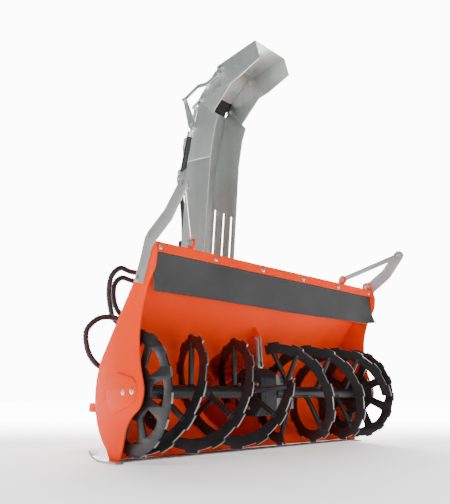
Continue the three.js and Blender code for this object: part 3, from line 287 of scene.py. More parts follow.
class Piece:
    """Collects shapes in millimetres and turns them into one object riding on a CAD body."""

    def __init__(self, name="tool", material=None):
        self.name = name
        self.bm = bmesh.new()
        self.materials = [material or ORANGE]

    def slot(self, material):
        if material is None:
            return 0
        if material not in self.materials:
            self.materials.append(material)
        return self.materials.index(material)

    def take(self, other, matrix=None, material=None):
        """Adds another bmesh, which is freed."""
        index = self.slot(material)
        for face in other.faces:
            face.material_index = index
        if matrix is not None:
            other.transform(matrix)
            if matrix.determinant() < 0:
                bmesh.ops.reverse_faces(other, faces=other.faces[:])
        mesh = bpy.data.meshes.new("tmp")
        other.to_mesh(mesh)
        other.free()
        self.bm.from_mesh(mesh)
        bpy.data.meshes.remove(mesh)
        return self

    def loft(self, rings, matrix=None, material=None, caps=True):
        """Faces between rings of points, one after another; a ring of one point is a tip."""
        other = bmesh.new()
        rings = [[other.verts.new(point) for point in ring] for ring in rings]
        sides = max(len(ring) for ring in rings)
        for a, b in zip(rings, rings[1:]):
            for k in range(sides):
                n = (k + 1) % sides
                corners = a[k % len(a)], a[n % len(a)], b[n % len(b)], b[k % len(b)]
                corners = list(dict.fromkeys(corners))
                if len(corners) > 2:
                    other.faces.new(corners)
        if caps:
            other.faces.new(rings[0][::-1])
            other.faces.new(rings[-1])
        bmesh.ops.recalc_face_normals(other, faces=other.faces[:])
        return self.take(other, matrix, material)

    def plate(self, points, low, high, plane=YZ, holes=(), bevel=0.8, matrix=XY):
        """A flat plate with rounded edges; low and high are its faces along the thickness."""
        curve = bpy.data.curves.new("tmp", "CURVE")
        curve.dimensions = "2D"
        curve.fill_mode = "BOTH"
        bevel = min(bevel, abs(high - low) * 0.45)
        curve.extrude = abs(high - low) / 2 - bevel
        curve.bevel_depth = bevel
        curve.bevel_resolution = 1
        curve.offset = -bevel
        for ring in (points, *holes):
            line = curve.splines.new("POLY")
            line.points.add(len(ring) - 1)
            for point, (u, v) in zip(line.points, ring):
                point.co = (u, v, 0, 1)
            line.use_cyclic_u = True
        holder = bpy.data.objects.new("tmp", curve)
        SCENE.collection.objects.link(holder)
        mesh = evaluated_mesh(holder)
        bpy.data.objects.remove(holder)
        bpy.data.curves.remove(curve)
        other = bmesh.new()
        other.from_mesh(mesh)
        bpy.data.meshes.remove(mesh)
        bmesh.ops.remove_doubles(other, verts=other.verts[:], dist=0.001)
        bmesh.ops.recalc_face_normals(other, faces=other.faces[:])
        return self.take(other, matrix @ plane @ Matrix.Translation((0, 0, (low + high) / 2)))

    def lathe(self, profile, start, along, segments=32, material=None):
        """Turned part: profile of (radius, distance) from start along a direction."""
        turns = [2 * pi * k / segments for k in range(segments)]
        rings = [
            [(r * cos(a), r * sin(a), d) for a in turns] if r > 1e-6 else [(0, 0, d)]
            for r, d in profile
        ]
        return self.loft(rings, frame_at(start, along), material, caps=False)

    def bar(self, start, end, radius, segments=24, material=None, bevel=0.8):
        """Round bar with rounded ends."""
        along = Vector(end) - Vector(start)
        length = along.length
        bevel = min(bevel, radius * 0.4, length * 0.3)
        soft = 0.3 * bevel
        profile = [(0, 0), (radius - bevel, 0), (radius - soft, soft), (radius, bevel)]
        profile += [(radius, length - bevel), (radius - soft, length - soft)]
        profile += [(radius - bevel, length), (0, length)]
        return self.lathe(profile, start, along, segments, material)

    def ring(self, start, end, inner, outer, segments=32, material=None, bevel=0.8):
        """Tube or washer."""
        along = Vector(end) - Vector(start)
        length = along.length
        bevel = min(bevel, (outer - inner) * 0.3, length * 0.3)
        profile = [(inner, bevel), (inner + bevel, 0), (outer - bevel, 0), (outer, bevel)]
        profile += [(outer, length - bevel), (outer - bevel, length), (inner + bevel, length)]
        profile += [(inner, length - bevel), (inner, bevel)]
        return self.lathe(profile, start, along, segments, material)

    def box(self, x0, x1, y0, y1, z0, z1, bevel=1.0, material=None, matrix=None, segments=2):
        other = bmesh.new()
        bmesh.ops.create_cube(other, size=1)
        other.transform(Matrix.Diagonal((x1 - x0, y1 - y0, z1 - z0, 1)))
        bevel = min(bevel, 0.45 * min(x1 - x0, y1 - y0, z1 - z0))
        corners = other.edges[:] + other.verts[:]
        bmesh.ops.bevel(
            other, geom=corners, offset=bevel, segments=segments, profile=0.5, affect="EDGES"
        )
        other.transform(Matrix.Translation(((x0 + x1) / 2, (y0 + y1) / 2, (z0 + z1) / 2)))
        return self.take(other, matrix, material)

    def hexagon(self, radius, start, end, material=None, bevel=0.6):
        """Nut or screw head with chamfered corners."""
        along = Vector(end) - Vector(start)
        size = {"radius1": radius, "radius2": radius, "depth": along.length}
        other = bmesh.new()
        bmesh.ops.create_cone(other, cap_ends=True, segments=6, **size)
        bmesh.ops.bevel(
            other, geom=other.edges[:], offset=bevel, segments=2, profile=0.6, affect="EDGES"
        )
        other.transform(Matrix.Translation((0, 0, along.length / 2)))
        return self.take(other, frame_at(start, along), material)

    def tube(self, points, radius, sides=12, material=None):
        """Sweep of a circle along a line; radius may be one number or one per point."""
        path = [Vector(p) for p in points]
        radii = radius if isinstance(radius, list) else [radius] * len(path)
        turns = [2 * pi * k / sides for k in range(sides)]
        rings = [
            [point + size * (cos(a) * normal + sin(a) * side) for a in turns]
            for point, size, (_, normal, side) in zip(path, radii, turned_normals(path))
        ]
        return self.loft(rings, None, material)

    def weld(self, points, radius=2.6, pitch=5.0, material=None):
        """A welded seam: a bead with stacked ripples."""
        step = 1.3
        path = resample(points, step)
        radii = [
            radius * (0.82 + 0.18 * abs(sin(pi * i * step / pitch)) + 0.06 * random.random())
            for i in range(len(path))
        ]
        radii[0] = radii[-1] = 0.3 * radius
        return self.tube(path, radii, 7, material)

    def hex_bolt(self, at, out, size=12, washer=True, height=None, thread=0.0):
        """Head, washer and the end of a screw standing out of a face."""
        at, out = Vector(at), Vector(out).normalized()
        base = size * 0.2 if washer else 0.0
        if washer:
            self.ring(at, at + out * base, size * 0.4, size * 1.08, 28, PLATED, 0.3)
        tall = height or size * 0.62
        top = base + tall
        self.hexagon(size * 0.92, at + out * base, at + out * top, PLATED, 0.06 * size)
        if thread:
            start = at + out * (base + tall * 0.5)
            self.bar(start, at + out * (top + thread), size * 0.47, 16, PLATED)
        return self

    def flat_screw(self, at, out, radius=11):
        """Countersunk screw seated nearly flush, with a round socket."""
        rise = 1.2
        profile = [(0, -1.5), (radius * 0.34, -1.5), (radius * 0.36, rise), (radius * 0.84, rise)]
        profile += [(radius * 0.97, rise * 0.55), (radius, -0.4)]
        return self.lathe(profile, at, out, 30, PLATED)

    def pan_screw(self, at, out, radius=7):
        """Domed screw head."""
        steps = ((1, 0.25), (0.86, 0.5), (0.5, 0.66), (0, 0.7))
        profile = [(radius, -0.2), *[(radius * r, radius * d) for r, d in steps]]
        return self.lathe(profile, at, out, 24, PLATED)

    def build(self, smooth=32.0):
        """The finished object, in metres, not yet riding on anything."""
        self.bm.transform(Matrix.Scale(MM, 4))
        piece = bmesh_object(self.bm, self.name, self.materials)
        piece.data.shade_smooth()
        piece.data.set_sharp_from_angle(angle=radians(smooth))
        return piece

    def done(self, body, *stands_for):
        """The finished object, riding on a CAD body in place of the CAD nodes named."""
        piece = self.build()
        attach(piece, body)
        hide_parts(*stands_for)


def bmesh_object(bm, name="tmp", materials=()):
    mesh = bpy.data.meshes.new(name)
    bm.to_mesh(mesh)
    bm.free()
    for material in materials:
        mesh.materials.append(material)
    holder = bpy.data.objects.new(name, mesh)
    SCENE.collection.objects.link(holder)
    return holder


def carve(piece, *cutters):
    """Cuts other pieces (used up here) out of a piece; the cut faces keep its first material."""
    target = bmesh_object(piece.bm, materials=piece.materials)
    tools = [bmesh_object(cutter.bm) for cutter in cutters]
    for tool in tools:
        modifier = target.modifiers.new("cut", "BOOLEAN")
        modifier.operation = "DIFFERENCE"
        modifier.solver = "EXACT"
        modifier.object = tool
    mesh = evaluated_mesh(target)
    piece.bm = bmesh.new()
    piece.bm.from_mesh(mesh)
    bpy.data.meshes.remove(mesh)
    for holder in (target, *tools):
        data = holder.data
        bpy.data.objects.remove(holder)
        bpy.data.meshes.remove(data)


def recolour(piece, material, test):
    """Gives another material to the faces whose centre and normal pass the test."""
    index = piece.slot(material)
    piece.bm.normal_update()
    for face in piece.bm.faces:
        if test(face.calc_center_median(), face.normal):
            face.material_index = index


def resample(points, step):
    """Even steps along a broken line."""
    path = [Vector(p) for p in points]
    out = [path[0]]
    for a, b in zip(path, path[1:]):
        count = max(1, round((b - a).length / step))
        out.extend(a.lerp(b, (i + 1) / count) for i in range(count))
    return out


def between(a, b, at_a, at_b, t):
    return (at_b - t) / (at_b - at_a) * a + (t - at_a) / (at_b - at_a) * b


def spline(points, step):
    """Smooth line through the points (centripetal Catmull-Rom), in even steps."""
    path = [Vector(p) for p in points]
    path = [2 * path[0] - path[1], *path, 2 * path[-1] - path[-2]]
    dense = []
    for p0, p1, p2, p3 in zip(path, path[1:], path[2:], path[3:]):
        t0 = 0.0
        t1 = t0 + max(1e-6, (p1 - p0).length ** 0.5)
        t2 = t1 + max(1e-6, (p2 - p1).length ** 0.5)
        t3 = t2 + max(1e-6, (p3 - p2).length ** 0.5)
        for k in range(24):
            t = t1 + (t2 - t1) * k / 24
            a1 = between(p0, p1, t0, t1, t)
            a2 = between(p1, p2, t1, t2, t)
            a3 = between(p2, p3, t2, t3, t)
            b1 = between(a1, a2, t0, t2, t)
            b2 = between(a2, a3, t1, t3, t)
            dense.append(between(b1, b2, t1, t2, t))
    dense.append(path[-2])
    lengths = [0.0]
    for a, b in zip(dense, dense[1:]):
        lengths.append(lengths[-1] + (b - a).length)
    count = max(2, round(lengths[-1] / step))
    out = []
    j = 0
    for i in range(count + 1):
        want = lengths[-1] * i / count
        while j < len(lengths) - 2 and lengths[j + 1] < want:
            j += 1
        gap = lengths[j + 1] - lengths[j]
        out.append(dense[j].lerp(dense[j + 1], (want - lengths[j]) / gap if gap > 0 else 0))
    return out


def radial(radius, angle, centre=AXLE):
    """A point round a centre, by default round the auger's axle in (y, z)."""
    return (centre[0] + radius * cos(radians(angle)), centre[1] + radius * sin(radians(angle)))


def arc(centre, radius, first, last, steps):
    return [radial(radius, first + (last - first) * i / steps, centre) for i in range(steps + 1)]


def circle(centre, radius, steps=32):
    return arc(centre, radius, 0, 360 - 360 / steps, steps - 1)


def rounded(points, radius, steps=4):
    """The same closed outline with rounded corners; radius is one number or one per corner."""
    out = []
    for i, point in enumerate(points):
        size = radius[i] if isinstance(radius, list) else radius
        p = Vector(point)
        a = Vector(points[i - 1]) - p
        b = Vector(points[(i + 1) % len(points)]) - p
        half = a.angle(b) / 2
        reach = min(size / max(tan(half), 1e-3), 0.45 * a.length, 0.45 * b.length)
        if size <= 0 or reach < 0.05 or half > radians(87):
            out.append(tuple(p))
            continue
        start = p + a.normalized() * reach
        end = p + b.normalized() * reach
        for t in (k / steps for k in range(steps + 1)):
            out.append(tuple((1 - t) ** 2 * start + 2 * t * (1 - t) * p + t * t * end))
    return out


def rect(u0, u1, v0, v1):
    return [(u0, v0), (u1, v0), (u1, v1), (u0, v1)]


def span(sign, low, high):
    """A range of distances from the middle plane, as x on the left (-1) or right (1) side."""
    return sorted((sign * low, sign * high))


def axle(x):
    return Vector((x, AUGER_Y, AUGER_Z))


def hub(y):
    return Vector((0, y, HUB_Z))


def hood(radius, z):
    """The hood's straight line above the trough of the radius given, in (y, z)."""
    y0, z0 = radial(radius, HOOD_LEAN)
    return (y0 - (z - z0) * tan(radians(HOOD_LEAN)), z)


# ---------------------------------------------------------------- housing
FRONT_EDGE = [
    (-222, 705), (-213, 655), (-172, 590), (-140, 500), (-134, 400), (-150, 315), (-174, 240),
    (-158, 188), (-112, 155), (-80, 118), (-62, 55), (-42, 8.5),
]
SIDE_OUTLINE = [
    (20, 8.5),
    *[radial(234, a) for a in range(-56, 38, 3)],
    hood(234, 690),
    *arc((-176, 772), 25, -10, 180, 12),
    *[(p.x, p.y) for p in spline([(u, v, 0) for u, v in FRONT_EDGE], 12)],
]
COVER_OUTLINE = [
    (31, 288), (-9, 301), (-109, 283), (-133, 266), (-141, 236), (-134, 209), (-116, 196),
    (-10, 163), (25, 170), (49, 201), (58, 243),
]
COVER_SCREWS = [(-59, 235), (-116, 238)]


def side_piece(side, sign):
    plate = Piece("side_plate_skin_" + side, ORANGE)
    plate.plate(SIDE_OUTLINE, *span(sign, INNER_X, PLATE_X), holes=[circle(AXLE, 20.5)], bevel=0.9)
    plate.done("housing", "side_plate_" + side)

    cover = Piece("bearing_cover_skin_" + side, ORANGE)
    cover.plate(rounded(COVER_OUTLINE, 5), *span(sign, PLATE_X + 0.3, PLATE_X + 7.3), bevel=1.1)
    seam = [*COVER_OUTLINE, COVER_OUTLINE[0]]
    cover.weld([(sign * (PLATE_X + 1), y, z) for y, z in seam], 1.9, 5.5)
    for y, z in COVER_SCREWS:
        cover.flat_screw((sign * (PLATE_X + 7.2), y, z), sign * RIGHT, 11.5)
    cover.done("housing", "bearing_cover_" + side)

    bearing = Piece("auger_bearing_skin_" + side, CAST)
    bearing.lathe(
        [
            (18, 0), (50, 0), (52, 1.5), (52, 5), (50, 6.7), (38, 6.7), (36, 8), (35, 13),
            (33, 14.7), (18, 14.7), (18, 0)
        ],
        axle(sign * (INNER_X - 0.3)),
        -sign * RIGHT,
        48,
    )
    for k in range(4):
        y, z = radial(44, 45 + 90 * k)
        bearing.hex_bolt((sign * (INNER_X - 6.9), y, z), -sign * RIGHT, 8)
    bearing.done("housing", "auger_bearing_" + side)

    skid = Piece("skid_skin_" + side, GALV)
    profile = [
        (-66, 6), (-69, 2), (-62, 0), (62, 0), (104, 9), (134, 28), (130, 35), (100, 17),
        (60, 8.2), (-60, 8.2),
    ]
    skid.plate(rounded(profile, 3), *span(sign, INNER_X, PLATE_X + 22), bevel=1.2)
    skid.weld([(sign * (PLATE_X + 1), y, 9) for y in (-40, 20)], 2.4, material=ORANGE)
    skid.done("housing", "skid_" + side)

    arm = Piece("drift_arm_skin_" + side, ZINC)
    outline = [
        (-97, 618), (-129, 691), (-156, 770), (-172, 787), (-272, 845), (-313, 886),
        *arc((-370, 905), 26, 45, 215, 14),
        (-356, 851), (-311, 800), (-219, 745), (-198, 718), (-152, 603),
    ]
    arm.plate(
        rounded(outline, [4, 0, 22, 8, 8, 30, *[0] * 15, 18, 20, 16, 16, 4]),
        *span(sign, PLATE_X + 0.3, PLATE_X + 8.3),
        bevel=1.0,
    )
    for y, z in [(-121, 627), (-183, 770), (-372, 911)]:
        arm.flat_screw((sign * (PLATE_X + 8.2), y, z), sign * RIGHT, 11.5)
    for y, z in [(-121, 627), (-183, 770)]:
        arm.hex_bolt((sign * (INNER_X - 0.2), y, z), -sign * RIGHT, 13, thread=6)
    arm.done("housing", "drift_arm_" + side)

    lug_x = 507 if side == "left" else 446
    strut = Piece("arm_strut_skin_" + side, ZINC)
    top = Vector((-PLATE_X + 3.3, -370, 905))
    foot = Vector((-lug_x - 6.3, -193, 778))
    along = (foot - top).normalized()
    across = Vector((along.y, -along.x, 0)).normalized()
    upright = across.cross(along)
    turn = Matrix((along, upright, along.cross(upright))).transposed().to_4x4()
    turn.translation = (top + foot) / 2
    length = (foot - top).length - 30
    flip = Matrix.Diagonal((-sign, 1, 1, 1))
    strut.box(-length / 2, length / 2, -12, 12, -3, 3, 1.0, matrix=flip @ turn)
    thin = upright.cross(along)
    thin = thin if thin.x > 0 else -thin
    for centre, reach in ((top, 30), (foot, -30)):
        inner = centre + along * reach
        strut.bar(flip @ (centre - 3 * RIGHT), flip @ (centre + 3 * RIGHT), 14, 36)
        corners = [(centre - 9 * UP, RIGHT), (centre + 9 * UP, RIGHT)]
        corners += [(inner + upright * 11.5, thin), (inner - upright * 11.5, thin)]
        strut.loft([[flip @ (p + out * t) for p, out in corners] for t in (-2.8, 2.8)])
    strut.hex_bolt(flip @ Vector((foot.x - 3, -193, 778)), sign * RIGHT, 11, thread=4)
    strut.hex_bolt(flip @ Vector((-lug_x + 3, -193, 778)), -sign * RIGHT, 11)
    strut.hex_bolt(flip @ Vector((top.x + 3, -370, 905)), -sign * RIGHT, 12, thread=5)
    strut.done("housing", "arm_strut_" + side)


for side, sign in SIDES:
    side_piece(side, sign)

trough = Piece("trough_skin", ORANGE)
SEAM_IN, SEAM_OUT = hood(224, 455), hood(228, 455)
trough_outline = [
    (14, 9),
    *[radial(228, -56 + 93 * k / 60) for k in range(61)],
    SEAM_OUT, SEAM_IN,
    *[radial(224, 37 - 93 * k / 60) for k in range(61)],
    (9, 9),
]
trough.plate(trough_outline, -PANEL_X, PANEL_X, bevel=0.4)
mouth = Piece()
mouth.bar(hub(-100), hub(300), 203.6, 128)
carve(trough, mouth)
rim = []
for k in range(161):
    a = 2 * pi * k / 160
    z = HUB_Z + 205.4 * sin(a)
    drop = z - AUGER_Z
    if drop < 228.5 * sin(radians(HOOD_LEAN)):
        y = AUGER_Y + sqrt(max(0.0, 228.5 ** 2 - drop ** 2))
    else:
        y = hood(228.5, z)[0]
    rim.append((205.4 * cos(a), y - 1.5, z))
trough.done("housing", "trough_plate")

hood_piece = Piece("hood_skin", ORANGE)
HOOD_TOP = 753 - 5 - GAP
hood_section = [hood(228, 455.3), hood(228, HOOD_TOP), hood(224, HOOD_TOP), hood(224, 455.3)]
hood_piece.plate(hood_section, -PANEL_X, PANEL_X, bevel=0.5)
seam_y = hood(224, 455.1)[0]
hood_piece.weld([(-PANEL_X + 3, seam_y + 0.6, 455.2), (PANEL_X - 3, seam_y + 0.6, 455.2)], 1.5, 6.0)
for x, z in ((-318, 618), (-172, 611)):
    y = hood(224, z)[0]
    hood_piece.pan_screw((x, y, z), (0, *radial(-1, HOOD_LEAN, (0, 0))), 9)
hood_piece.done("housing", "hood_plate")

flange = Piece("top_flange_skin", ORANGE)
flange.plate(
    rounded(
        [(-201, 716), (-196, 716), (-196, 748), (-149, 748), (-149, 753), (-201, 753)],
        [0, 0, 2, 0, 0, 5]
    ),
    -PANEL_X, PANEL_X, bevel=0.7,
)
LUG = [(-201, 752), (-168, 752), (-172, 783), (-184, 795), (-202, 795), (-214, 783), (-214, 762)]
for x in (-507, 446):
    flange.plate(rounded(LUG, [0, 0, 6, 9, 9, 6, 4]), x - 3, x + 3, bevel=0.7)
    for offset in (-3.5, 3.5):
        flange.weld([(x + offset, -200, 754), (x + offset, -171, 754)], 2.0)
for k in range(6):
    x = (k - 2.5) * 262.5
    flange.pan_screw((x, -201, 731), -REAR, 9.5)
flange.done("housing", "top_flange")

# The flap hangs a little wavy and its right lower corner curls out.
FLAP_Y = -195.7
COLS, ROWS = 120, 20


def flap_point(r, c, back):
    u, v = c / COLS, r / ROWS
    loose = min(1.0, max(0.0, (v - 0.16) / 0.84)) ** 2
    wave = 5.0 * loose * (sin(2.1 * pi * u + 0.4) + 0.5 * sin(5.3 * pi * u + 1.1))
    curl = 26 * loose ** 1.5 * max(0.0, (u - 0.93) / 0.07) ** 2
    lift = 1.2 * loose * sin(9 * u) + 6 * loose * max(0.0, (u - 0.95) / 0.05) ** 2
    y = FLAP_Y + 7.5 * back - max(-4.0, wave) * 0.9 - curl
    return (1344 * u - 672, y, 738 - 165 * v + lift)


grid = bmesh.new()
layers = [
    [[grid.verts.new(flap_point(r, c, back)) for c in range(COLS + 1)] for r in range(ROWS + 1)]
    for back in (0, 1)
]
for rows in layers:
    for above, below in zip(rows, rows[1:]):
        for c in range(COLS):
            grid.faces.new((above[c], above[c + 1], below[c + 1], below[c]))
edge_loop = (
    [(0, c) for c in range(COLS + 1)]
    + [(r, COLS) for r in range(1, ROWS + 1)]
    + [(ROWS, c) for c in range(COLS - 1, -1, -1)]
    + [(r, 0) for r in range(ROWS - 1, 0, -1)]
)
for (r0, c0), (r1, c1) in zip(edge_loop, edge_loop[1:] + edge_loop[:1]):
    grid.faces.new((layers[0][r0][c0], layers[1][r0][c0], layers[1][r1][c1], layers[0][r1][c1]))
bmesh.ops.recalc_face_normals(grid, faces=grid.faces[:])
flap = Piece("snow_flap_skin", FLAP)
flap.take(grid)
flap.done("housing", "snow_flap")

edge = Piece("cutting_edge_skin", BLACK)
blade = rounded([(-12, 0), (62, 0), (62, 8.2), (-8, 8.2), (-12, 5)], [0, 1, 1, 1, 1])
edge.plate(blade, -PANEL_X, PANEL_X)
recolour(edge, WORN, lambda c, n: c.y < -7 or (c.z < 0.5 and c.y < 0))
for k in range(7):
    edge.flat_screw(((k - 3) * 200, 30, 8.0), UP, 10)
edge.done("housing", "cutting_edge")

# ---------------------------------------------------------------- impeller drum
drum = Piece("drum_skin", ORANGE)
drum.ring(hub(-20), hub(460), 204, 208, 128, bevel=0.4)
outside = Piece()
outside.plate(
    [
        (-400, -50), (-29, -50), (15.5, 9), *[radial(228.3, -56 + 93 * k / 60) for k in range(61)],
        hood(228.3, 600), (-400, 600)
    ],
    -400, 400, bevel=0.0,
)
outlet = Piece()
outlet.bar(hub(350), (*CHUTE_AXIS, 560), 94, 96)
carve(drum, outside, outlet)
drum.weld(rim, 2.4, 6.0)
drum.done("housing", "impeller_drum")

collar = Piece("outlet_collar_skin", ORANGE)
profile = [(94, 100), (98, 100), (98, 265), (134, 265), (134, 273), (94, 273), (94, 100)]
collar.lathe(profile, hub(350), UP, 96)
collar.box(-228, -120, 308, 392, 515, 523, 2)
inside, motor_hole, outlet = Piece(), Piece(), Piece()
inside.bar(hub(-20), hub(490), 208.3, 128)
motor_hole.bar((*MOTOR_AXIS, 495), (*MOTOR_AXIS, 540), 14, 32)
outlet.bar((*CHUTE_AXIS, 240), (*CHUTE_AXIS, 560), 94, 96, bevel=0)
carve(collar, inside, motor_hole, outlet)
saddle = []
for k in range(121):
    a = 2 * pi * k / 120
    x = 98.8 * cos(a)
    saddle.append((x, CHUTE_AXIS[1] + 98.8 * sin(a), HUB_Z + sqrt(208.6 ** 2 - x * x) + 0.5))
collar.weld(saddle, 2.4, 6.0)
collar.done("housing", "outlet_collar")

back = Piece("drum_back_skin", ORANGE)
back.plate(circle(HUB, 232, 120), -466.3, -460.3, XZ, [circle(HUB, 24.5, 40)], 1.0)
for k in range(12):
    x, z = radial(221, 15 + 30 * k, HUB)
    back.hex_bolt((x, 466.2, z), REAR, 9, thread=3)
back.weld([(x, 459.5, z) for x, z in arc(HUB, 209.5, 0, 360, 120)], 2.2)
back.done("housing", "drum_back_plate")

bearing = Piece("impeller_bearing_skin", CAST)
shaft_hole = Piece()
shaft_hole.bar(hub(440), hub(520), 20.3, 48)
bearing.box(-52, 52, 466.6, 476.6, 198, 302, 4)
bearing.lathe([(0, 0), (40, 0), (38, 12), (37, 17), (35, 18.8), (0, 18.8)], hub(471.7), REAR, 48)
carve(bearing, shaft_hole)
for x in (-40, 40):
    for z in (210, 290):
        bearing.hex_bolt((x, 476.5, z), REAR, 10, thread=4)
bearing.done("housing", "impeller_bearing")

# ---------------------------------------------------------------- gearbox
case = Piece("gearbox_skin", CAST)
OCTAGON = [
    (-100, 140), (-18, 140), (20, 178), (20, 296), (-18, 334), (-100, 334), (-138, 296), (-138, 178)
]
case.plate(rounded(OCTAGON, 16), -88, 34, bevel=7)
corner = Piece()
corner.plate([(-6, -150), (70, -150), (70, -60), (58, -72)], 100, 400, XY, bevel=0)
shoulder = Piece()
shoulder.plate([(-22, 340), (70, 345), (70, 286)], -60, 160, XZ, bevel=0)
carve(case, corner, shoulder)
case.plate(
    rounded([(y * 1.02 + 1.2, (z - 237) * 1.02 + 237) for y, z in OCTAGON], 16), -62, -54, bevel=2
)
case.lathe([(29, 0), (27, 6), (30, 10), (44, 10.5), (44, 20)], axle(-97), RIGHT, 48)
case.lathe([(29, 0), (27, 6), (30, 8), (40, 8.5), (40, 14)], axle(41), -RIGHT, 48)
case.ring(axle(-97), axle(-88), 18.2, 29, 48)
case.ring(axle(34), axle(41), 18.2, 29, 48)
case.lathe([(50, 0), (46, 10), (44, 18), (44, 48), (42, 50), (15.6, 50)], hub(14), REAR, 48)
for k in range(6):
    y, z = radial(62, 30 + 60 * k, (AUGER_Y + 22, AUGER_Z))
    case.hex_bolt((-87.6, y, z), -RIGHT, 8)
case.plate(
    rounded([(-60, 294), (-28, 294), (-31, 366), (-57, 366)], [0, 0, 11, 11]),
    -5.5, 5.5, bevel=1.5, holes=[circle((-44, 350), 7.6, 20)],
)
case.hex_bolt((-45, -90, 333.5), UP, 12)
case.done("housing", "gearbox_case")

gusset = Piece("torque_gusset_skin", ORANGE)
gusset.plate(
    rounded([(-20.5, 519), (-48, 482), (-48, 452), (-30, 444), (38, 441)], [0, 6, 6, 4, 0]), -4, 4,
    bevel=0.8, holes=[circle((-36, 465), 7.6, 20)]
)
for offset in (-4.5, 4.5):
    gusset.weld([(offset, -18, 517), (offset, 37, 442)], 2.2)
gusset.done("housing", "torque_gusset")

strap = Piece("torque_link_skin", GALV)
STRAP = rounded([(-55, 338), (-33, 338), (-25, 477), (-47, 477)], 9)
strap.plate(STRAP, -12, -6, bevel=1)
strap.plate(STRAP, 6, 12, bevel=1)
for y, z in ((-36, 465), (-44, 350)):
    strap.bar((-14, y, z), (14, y, z), 7, 24)
    strap.hex_bolt((-12, y, z), -RIGHT, 10, washer=False)
    strap.hex_bolt((12, y, z), RIGHT, 10, washer=False, height=6)
strap.done("housing", "torque_link")

# ---------------------------------------------------------------- auger


def auger_point(x, radius, angle):
    """Angle 0 is the front of the auger and 90 its top."""
    a = radians(angle)
    return Vector((x, AUGER_Y - radius * cos(a), AUGER_Z + radius * sin(a)))


PITCH = 450


def flight(name, x_front, end, spoke_angle, mirror):
    """A toothed ribbon, 469 degrees long, on spokes, with a slanting stay at its end."""
    start = end - 469
    flip = Matrix.Diagonal((-1 if mirror else 1, 1, 1, 1))

    def x_at(angle):
        return x_front + PITCH * angle / 360

    stations = []
    tooth = start
    while tooth < end - 1:
        rise = [(tooth + 0.9 + 2.62 * k, 9) for k in range(5)]
        stations += [(tooth, 0), *rise, (tooth + 14.1, 9)]
        stations += [(tooth + 15 + 2.5 * k, 0) for k in range(6)]
        tooth += 30
    stations = [s for s in stations if s[0] < end - 1] + [(end, 9)]
    half, nip, inner = 3.5, 0.9, 166
    rings = []
    for angle, rise in stations:
        outer = AUGER_R + rise
        section = [(-half, inner + nip), (nip - half, inner), (half - nip, inner)]
        section += [(half, inner + nip), (half, outer - nip), (half - nip, outer)]
        section += [(nip - half, outer), (-half, outer - nip)]
        rings.append([auger_point(x_at(angle) + u, r, angle) for u, r in section])
    piece = Piece(name + "_skin", BLACK)
    worn = piece.slot(WORN)
    piece.loft(rings, flip)
    for k, face in enumerate(piece.bm.faces):
        if k % 8 in (4, 5, 6):
            face.material_index = worn
    angle = spoke_angle
    while angle < end - 5:
        if angle > start + 5:
            x = x_at(angle)
            piece.bar(flip @ auger_point(x, 25, angle), flip @ auger_point(x, 183, angle), 11, 28)
            for radius in (26.5, 167):
                centre = auger_point(x, radius, angle)
                out = auger_point(x, radius + 4, angle) - centre
                collar = [(15.5 if radius < 100 else 12.2, -2), (14, 0.5), (11, 3.5)]
                piece.lathe(collar, flip @ centre, flip.to_3x3() @ out, 24)
        angle += 120
    a = end - 8
    foot, top = auger_point(x_at(a) - 86, 31, a), auger_point(x_at(a) - 4, 183, a)
    piece.bar(flip @ foot, flip @ top, 11, 28)
    piece.done("auger", name)


flight("auger_flight_left_a", -526, 374, -390, False)
flight("auger_flight_left_b", -526 + 225, 194, -390, False)
flight("auger_flight_right_a", -177, 104, -420, True)
flight("auger_flight_right_b", -177 - 225, 284, -420, True)


def on_rim(centre, normal):
    reach = hypot(centre.y - AUGER_Y, centre.z - AUGER_Z)
    return abs(centre.x) > 651 and reach > AUGER_R + 4.2 and abs(normal.x) < 0.9


WINDOW = [
    (96, -12), (132, -14.2), (166, -15), (170, -6), (170, 6), (166, 15), (132, 14.2), (96, 12)
]
for side, sign, phase, tube_x in (("left", -1, -2, 99), ("right", 1, 0, 43)):
    core = Piece("auger_core_skin_" + side, BLACK)
    core.ring(*map(axle, span(sign, tube_x, 657)), 18.2, 24.15, 64, bevel=1)
    tooth = [(0, 0), *[(6, a) for a in (1, 4, 7, 10)], *[(0, 11 + 2.9 * k) for k in range(4)]]
    teeth = [radial(AUGER_R + r, 22.5 * t + a) for t in range(16) for r, a in tooth]
    windows = []
    for k in range(8):
        corners = [auger_point(0, radius, phase + 45 * k + offset).yz for radius, offset in WINDOW]
        windows.append(rounded(corners, 7, 3))
    core.plate(teeth, *span(sign, 652, 660), bevel=0.8, holes=[circle(AXLE, 18.3, 40), *windows])
    recolour(core, WORN, on_rim)
    core.weld([(sign * 651.5, *p) for p in arc(AXLE, 25.5, 0, 360, 60)], 3.2)
    core.done("auger", "auger_core_" + side)

shaft = Piece("auger_shaft_skin", STEEL)
shaft.bar(axle(-677), axle(677), 17.5, 48, bevel=1.5)
shaft.done("auger", "auger_shaft")

paddle = Piece("throwing_paddle_skin", ZINC)
PY = AUGER_Y + 24.15 + 0.6
paddle.plate(
    rounded(rect(71, 199, 165, 312), 3), -(PY + 5), -PY, XZ, [circle((177, 236), 13.5, 32)], 0.8
)
for x0, x1 in ((71, 76), (194, 199)):
    paddle.plate(rounded(rect(PY + 1, PY + 30, 165, 312), [0, 3, 3, 0]), x0, x1, bevel=0.9)
paddle.hex_bolt((71, PY + 17, 238), -RIGHT, 15, thread=6)
paddle.hex_bolt((76, PY + 17, 238), RIGHT, 15)
for z in (186, 290):
    paddle.hex_bolt((135, PY, z), -REAR, 12)
paddle.done("auger", "throwing_paddle")

